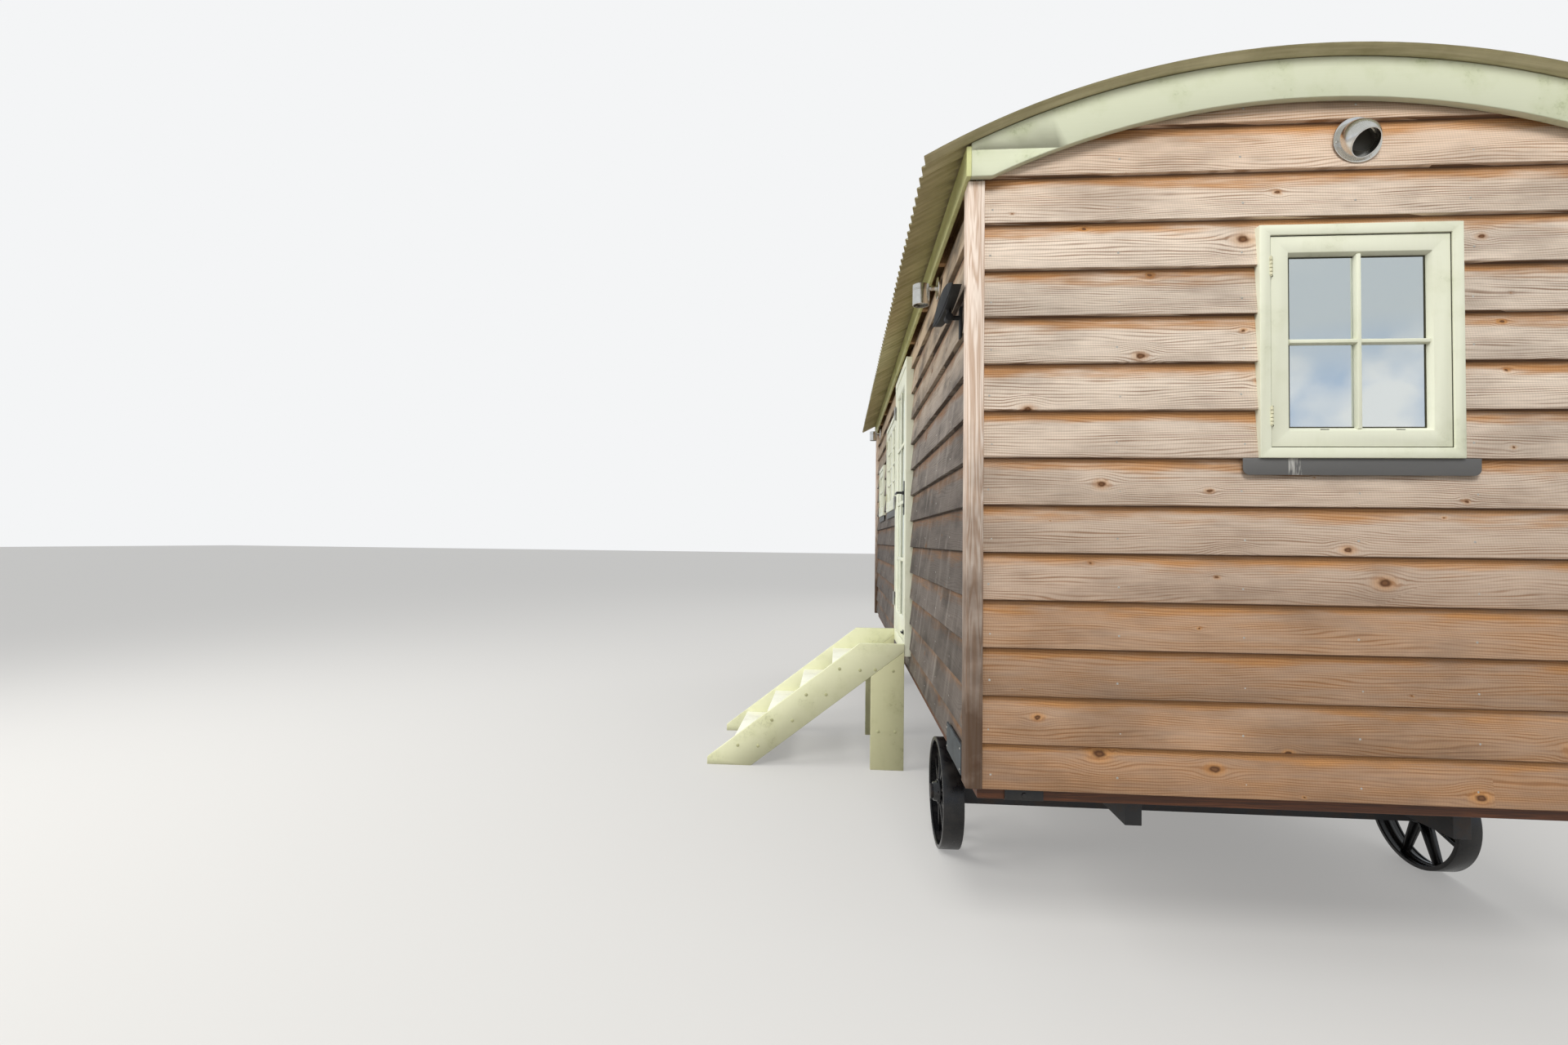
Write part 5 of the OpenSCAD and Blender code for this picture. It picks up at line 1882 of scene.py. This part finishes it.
@dataclass
class Fittings:
    """The vent, the down lights, the black fitting by the corner and the plate."""

    hut: Hut
    vent_x: float = 0.128
    vent_z: float = 2.8944
    face_y: float = -0.0283
    hood_r: float = 66 * MM
    hood_t: float = 2 * MM
    mouth: float = 46 * MM
    vent_down: float = 39.0
    vent_roll: float = 8.0
    bead_r: float = 2.2 * MM
    flange_screws: tuple[float, ...] = (-95, 25, 145)
    lamp_out: float = 0.086
    disc_r: float = 0.053
    arm_r: float = 12 * MM
    arm_shift: float = 8 * MM
    arm_short: float = 36 * MM
    plate_cuts: int = 18
    chip_edge: float = 1 * MM
    chip_in: float = 1.6 * MM
    chip_stray: float = 0.9 * MM
    plate_screw_in: float = 0.018

    def hood(self) -> list[Piece]:
        """The vent's hollow hood, cut off at the wall and at its mouth, and the bead round the mouth.

        Returns:
            The hood and the bead, round the vent's own middle.
        """
        inner = self.hood_t / 2
        bpy.ops.mesh.primitive_uv_sphere_add(segments=64, ring_count=40, radius=self.hood_r - inner)
        hood = settle("hood")
        down = math.radians(self.vent_down)
        aim = Vector((0, -math.cos(down), -math.sin(down)))
        for place, normal in ((Vector((0, 0, 0)), (0, 1, 0)), (aim * self.mouth, aim)):
            edit(hood)
            bpy.ops.mesh.bisect(plane_co=place, plane_no=normal, clear_outer=True)
            deselect()
        modified(hood, "SOLIDIFY", thickness=self.hood_t, offset=0.0)
        bpy.ops.mesh.primitive_torus_add(
            major_radius=math.sqrt(self.hood_r ** 2 - self.mouth ** 2) - inner, minor_radius=self.bead_r,
            major_segments=64, minor_segments=10)
        bead = settle("bead")
        moved(bead, Matrix.Translation(aim * self.mouth) @ aim.to_track_quat("Z", "Y").to_matrix().to_4x4())
        lean = Matrix.Rotation(math.radians(-self.vent_roll), 4, "Y")
        return [moved(part, lean) for part in (hood, bead)]

    def vent(self, finishes: Finishes) -> None:
        """A round cowl: flange with a rolled rim, hollow hood with a beaded mouth, dark duct behind.

        Args:
            finishes: The hut's finishes.
        """
        place = self.hut.front() @ Matrix.Translation((self.vent_x, self.face_y, self.vent_z))
        flange = turned("flange", in_mm((30, 0), (78, 0), (80, -1.2), (79, -3), (75, -3), (73, -1.8),
                                        (30, -1.8)), (0, 0, 0), Axis.Y, 72)
        head = turned("head", in_mm((0, -3), (2.6, -2.4), (4, 0)), (0, 0, 0), Axis.Y, 16, closed=False)
        screws = []
        for degrees in self.flange_screws:
            turn = Matrix.Rotation(math.radians(degrees), 4, "Y")
            screws.append(copied(head, "head", turn @ Matrix.Translation((0, -2.5 * MM, 71 * MM))))
        remove(head)
        cowl = moved(joined("vent_hood", [flange, *self.hood(), *screws]), place)
        ready(smooth(cowl, 50), finishes.stainless, "root", "stainless", "vent_cowl")
        duct = turned("vent_duct", in_mm((45, -1.9), (45, -13), (46.5, -14.5), (48, -13), (48, -1.9)),
                      (0, 0, 0), Axis.Y, 48)
        flap = turned("vent_flap", in_mm((0, -4), (20, -5), (44, -3), (44, -1.9), (0, -1.9)),
                      (0, 0, 0), Axis.Y, 40, closed=False)
        for part in (duct, flap):
            ready(smooth(moved(part, place), 50), finishes.flap, "root", "black_plastic")

    def lights(self, finishes: Finishes) -> None:
        """A turned wall disc, arm and upright tube with two fine grooves, open below over a lens.

        Args:
            finishes: The hut's finishes.
        """
        low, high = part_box("down_lights")
        middle = (-self.lamp_out, 0, 0)
        tube = turned("tube", in_mm((0, 16), (38, 16), (40, 14), (40, -7), (38.5, -8), (40, -9), (40, -13),
                                    (38.5, -14), (40, -15), (40, -83), (39, -84), (36, -84), (36, -68),
                                    (0, -68)), middle, Axis.Z, 56, closed=False)
        disc = turned("disc", in_mm((0, 0), (53, 0), (53, -7), (50, -10), (0, -10)), (0, 0, 0), Axis.X, 56,
                      closed=False)
        arm = drum("arm", (self.arm_shift - self.lamp_out / 2, 0, 0), self.arm_r,
                   self.lamp_out - self.arm_short, Axis.X)
        light = joined("light", [tube, disc, softened(arm, 1 * MM)])
        lens = turned("lens", in_mm((0, -73), (20, -72), (34, -69), (35.5, -68.2), (0, -68.2)), middle,
                      Axis.Z, 40, closed=False)
        spots = [Matrix.Translation((high.x, y, high.z - self.disc_r))
                 for y in (low.y + self.disc_r, high.y - self.disc_r)]
        pair = joined("stainless_lights", [copied(light, "light", spot) for spot in spots])
        ready(smooth(pair), finishes.stainless, "root", "stainless", "down_lights")
        lenses = joined("light_lenses", [copied(lens, "lens", spot) for spot in spots])
        ready(smooth(lenses, 60), finishes.lens, "root", "glass")
        remove(light, lens)

    def plate(self, finishes: Finishes) -> None:
        """The bare slate plate, its edges chipped, on four screws.

        Args:
            finishes: The hut's finishes.
        """
        low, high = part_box("name_plate")
        plate = block("slate_plate", low, high)
        edit(plate)
        bpy.ops.mesh.subdivide(number_cuts=self.plate_cuts)
        deselect()
        near = self.chip_edge
        choose(plate, lambda p: p.x < low.x + near
               and min(p.y - low.y, high.y - p.y, p.z - low.z, high.z - p.z) < near)
        bpy.ops.transform.translate(value=(self.chip_in, 0, 0))
        bpy.ops.transform.vertex_random(offset=self.chip_stray, uniform=0.0, normal=0.0, seed=5)
        deselect()
        ready(smooth(plate, 25), finishes.slate, "root", "slate", "name_plate")
        screw = turned("screw", in_mm((0, -2.4), (2.6, -1.8), (4.2, 0.4)), (0, 0, 0), Axis.X, 14,
                       closed=False)
        into = self.plate_screw_in
        made = [copied(screw, "screw", Matrix.Translation((low.x, y, z)))
                for y in (low.y + into, high.y - into) for z in (low.z + into, high.z - into)]
        remove(screw)
        ready(smooth(joined("plate_screws", made), 60), finishes.screw, "root", "stainless")

    def build(self, finishes: Finishes) -> None:
        """All the small fittings; the black one has only its edges rounded.

        Args:
            finishes: The hut's finishes.
        """
        self.vent(finishes)
        self.lights(finishes)
        rounded("wall_fitting", "black_fitting", 1.6 * MM, finishes.plastic, "black_plastic")
        self.plate(finishes)


@dataclass
class Steps:
    """The painted steps: strings, treads and legs with their screw caps."""

    hut: Hut
    # where each cap sits on the strings and legs, from the hut's middle and from the ground
    caps: tuple[tuple[float, float], ...] = (
        (-2.292, .13), (-2.158, .13), (-2.067, .303), (-1.932, .303), (-1.842, .475), (-1.711, .479),
        (-1.625, .65), (-1.491, .645), (-1.392, .65), (-1.276, .646), (-1.37, .25), (-1.26, .25))
    cap_r: float = 0.011

    def build(self, finishes: Finishes) -> None:
        """Rounds the timber and caps the screws on both outer faces.

        Args:
            finishes: The hut's finishes.
        """
        rounded("step_strings", "strings", 2.5 * MM, finishes.step, "sage_paint")
        # the legs take the darker paint, which is painted shade
        rounded("step_legs", "legs", 2.5 * MM, finishes.leg, "sage_paint")
        rounded("step_treads", "tread_boards", 2.5 * MM, finishes.tread, "tread_paint")
        low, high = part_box("step_strings")
        r = self.cap_r
        cap = turned("cap", [(0.0, -3.2 * MM), (r * 0.6, -2.8 * MM), (r, -0.6 * MM), (r, 0.0)], (0, 0, 0),
                     Axis.Y, 20, closed=False)
        half_turn = Matrix.Rotation(math.pi, 4, "Z")
        made = []
        for x, z in self.caps:
            x += self.hut.shift
            made.append(copied(cap, "cap", Matrix.Translation((x, low.y, z))))
            made.append(copied(cap, "cap", Matrix.Translation((x, high.y, z)) @ half_turn))
        remove(cap)
        ready(smooth(joined("screw_caps", made), 50), finishes.cap, "root", "sage_paint")


@dataclass
class Carcass:
    """The timber and steel that carry the hut, and the linings inside, in the CAD's own shapes."""

    def build(self, finishes: Finishes) -> None:
        """Rounds the posts, beams, brackets and chassis, and dresses what shows inside.

        Args:
            finishes: The hut's finishes.
        """
        rounded("corner_posts", "larch_posts", 3 * MM, finishes.post, "larch_post")
        rounded("floor_frame", "floor_beams", 2 * MM, finishes.beam, "stained_beam", segments=1)
        rounded("beam_brackets", "iron_brackets", 1.2 * MM, finishes.black_iron, "black_iron")
        for node in ("chassis_rails", "front_axle", "rear_axle"):
            rounded(node, node + "_steel", 2 * MM, finishes.chassis, "chassis_steel")
        finishes.lining.on_node("left_wall_front", "left_wall_rear", "left_wall_head", "right_wall")
        finishes.gable_lining.on_node("front_gable_wall", "rear_gable_wall")
        finishes.ceiling.on_node("ceiling_lining")
        finishes.floor.on_node("floor_deck")
        finishes.rough_pine.on_node("roof_bows", "roof_deck")


@dataclass
class Studio:
    """The plain pale floor, the soft light and the camera at the photograph's angle."""

    hut: Hut
    eye: tuple[float, float, float] = (-1.645, -5.568, 1.49)
    photo_px: float = 1920
    focal_px: float = 856.9
    sensor: float = 36.0
    yaw: float = 4.407
    pitch: float = 1.469
    roll: float = 0.682
    far: float = 200.0
    floor_size: float = 160.0
    floor_hex: str = "#9C9A96"
    floor_glow: float = 0.3
    glow_hex: str = "#FFFEFC"
    ground_hex: str = "#8F8A84"
    backdrop_hex: str = "#F4F5F6"
    light_hex: str = "#F2F4F7"
    sky_hex: str = "#B4CBEA"
    cloud_hex: str = "#FFFFFF"
    overcast_hex: str = "#DBDFE0"
    sky: float = 0.72
    aim: tuple[float, float, float] = (0.0, -1.6, 1.5)
    # each lamp's name, place, size in metres and power in watts
    lamps: tuple[tuple[str, tuple[float, float, float], float, float], ...] = (
        ("key", (-1.1, -9.0, 8.6), 3.2, 630.0), ("left", (-8.5, -3.5, 6.0), 4.5, 600.0),
        ("back", (5.5, 9.0, 8.0), 6.0, 420.0))

    def camera(self) -> None:
        """A pinhole camera: the photograph's focal length over its width, turned left and up, and rolled."""
        data = bpy.data.cameras.new("camera")
        data.sensor_width = self.sensor
        data.lens = self.focal_px / self.photo_px * self.sensor
        data.clip_end = self.far
        camera = bpy.data.objects.new("camera", data)
        bpy.context.collection.objects.link(camera)
        turn = Matrix.Translation(Vector(self.eye) + Vector((self.hut.shift, 0, 0)))
        for degrees, axis in ((self.yaw, "Z"), (90 + self.pitch, "X"), (self.roll, "Z")):
            turn = turn @ Matrix.Rotation(math.radians(degrees), 4, axis)
        camera.matrix_world = turn
        bpy.context.scene.camera = camera

    @staticmethod
    def seen(tree: Tree) -> tuple[Socket, Socket]:
        """Tells the rays of the camera, gloss and glass from those that light the hut.

        Args:
            tree: The nodes to add to.

        Returns:
            One for a camera ray, and one for a ray of any of the three kinds.
        """
        paths = add(tree, "LightPath").node
        camera = paths.outputs["Is Camera Ray"]
        seen = add(tree, "Math", {0: camera, 1: paths.outputs["Is Glossy Ray"]}, operation="MAXIMUM")
        seen = add(tree, "Math", {0: seen, 1: paths.outputs["Is Transmission Ray"]}, operation="MAXIMUM")
        return camera, seen

    def world(self) -> None:
        """A soft even sky that lights the hut, and clouds above a grey horizon in gloss and glass."""
        world = bpy.data.worlds.new("studio")
        world.use_nodes = True
        tree = world.node_tree
        camera, seen = self.seen(tree)
        toward = add(tree, "TexCoord", out="Generated")
        cloud = add(tree, "TexNoise", {"Vector": toward, "Scale": 8.0, "Detail": 6.0})
        cloud = add(tree, "MapRange", {0: cloud, 1: 0.4, 2: 0.56})
        cloud = add(tree, "Mix", {0: cloud, 6: colour(self.sky_hex), 7: colour(self.cloud_hex)}, 2,
                    data_type="RGBA")
        rise = add(tree, "SeparateXYZ", {0: toward}, 2)
        rise = add(tree, "MapRange", {0: rise, 1: 0.18, 2: 0.25, 4: 0.9})
        cloud = add(tree, "Mix", {0: rise, 6: cloud, 7: colour(self.overcast_hex)}, 2, data_type="RGBA")
        cloud = add(tree, "Mix", {0: camera, 6: cloud, 7: colour(self.backdrop_hex)}, 2, data_type="RGBA")
        soft = add(tree, "Background", {"Color": colour(self.light_hex), "Strength": self.sky})
        pale = add(tree, "Background", {"Color": cloud, "Strength": 1.0})
        both = add(tree, "MixShader", {0: seen, 1: soft, 2: pale})
        tree.links.new(both, tree.nodes["World Output"].inputs["Surface"])
        bpy.context.scene.world = world

    def lights(self) -> None:
        """Large lamps in front, on the left and behind, which gloss doesn't show."""
        for name, at, size, watts in self.lamps:
            data = bpy.data.lights.new(name, "AREA")
            data.size = size
            data.energy = watts
            lamp = bpy.data.objects.new(name, data)
            bpy.context.collection.objects.link(lamp)
            lamp.location = at
            lamp.rotation_euler = (Vector(self.aim) - Vector(at)).to_track_quat("-Z", "Y").to_euler()
            lamp.visible_glossy = False

    def floor(self) -> None:
        """A large floor, lifted by an even glow that only the camera, gloss and glass see."""
        bpy.ops.mesh.primitive_plane_add(size=self.floor_size, location=(0, 0, 0))
        floor = bpy.context.object
        floor.name = "studio_floor"
        made = bpy.data.materials.new("pale_floor")
        made.use_nodes = True
        tree = made.node_tree
        _, seen = self.seen(tree)
        tone = add(tree, "Mix", {0: seen, 6: colour(self.ground_hex), 7: colour(self.floor_hex)}, 2,
                   data_type="RGBA")
        glow = add(tree, "Math", {0: seen, 1: self.floor_glow}, operation="MULTIPLY")
        fill(tree, tree.nodes["Principled BSDF"], {
            "Base Color": tone, "Emission Strength": glow, "Emission Color": colour(self.glow_hex),
            "Roughness": 0.9})
        floor.data.materials.append(made)

    def build(self) -> None:
        """Camera, light and floor."""
        self.camera()
        self.world()
        self.lights()
        self.floor()
        bpy.context.scene.view_settings.view_transform = "Standard"


def board_walls(hut: Hut, plan: Plan, finishes: Finishes) -> None:
    """Boards and nails the four walls.

    Args:
        hut: The hut's main lines.
        plan: Its openings and nails.
        finishes: Its finishes.
    """
    gable = (hut.half_w - hut.post_w, hut.gable_low, hut.arc_z + hut.roof_r)
    side = (hut.half_l - hut.post_d, hut.side_low, hut.eaves_z)
    left = [plan.long_left, plan.short_left, plan.door]
    walls = [
        (Boarding(hut, "front_larch", hut.front(), *gable, [plan.gable], plan.gable_nails, True),
         finishes.gable_boards, "front_boards"),
        (Boarding(hut, "rear_larch", hut.rear(), *gable, [plan.gable], plan.gable_nails, True),
         finishes.rear_boards, "rear_boards"),
        (Boarding(hut, "left_larch", hut.left(), *side, left, plan.side_nails),
         finishes.side_boards, "left_boards"),
        (Boarding(hut, "right_larch", hut.right(), *side, [plan.long_right], plan.side_nails),
         finishes.far_boards, "right_boards"),
    ]
    for wall, finish, node in walls:
        wall.build(finish, node)
        wall.nail_heads(finishes.screw)


def main() -> None:
    """Builds every sub-assembly in order."""
    logging.basicConfig(level=logging.INFO, format="%(message)s")
    deselect()
    hut, plan, finishes = Hut(), Plan(), Finishes()
    Studio(hut).build()
    board_walls(hut, plan, finishes)
    roof = Roof(hut)
    roof.skin(finishes.roof)
    roof.fixings(finishes.screw)
    roof.trim(finishes)
    Glazing(hut, plan).build(finishes)
    Door(hut).build(finishes)
    Wheel(hut).build(finishes)
    Fittings(hut).build(finishes)
    Steps(hut).build(finishes)
    Carcass().build(finishes)
    deselect()


if __name__ == "__main__":
    main()
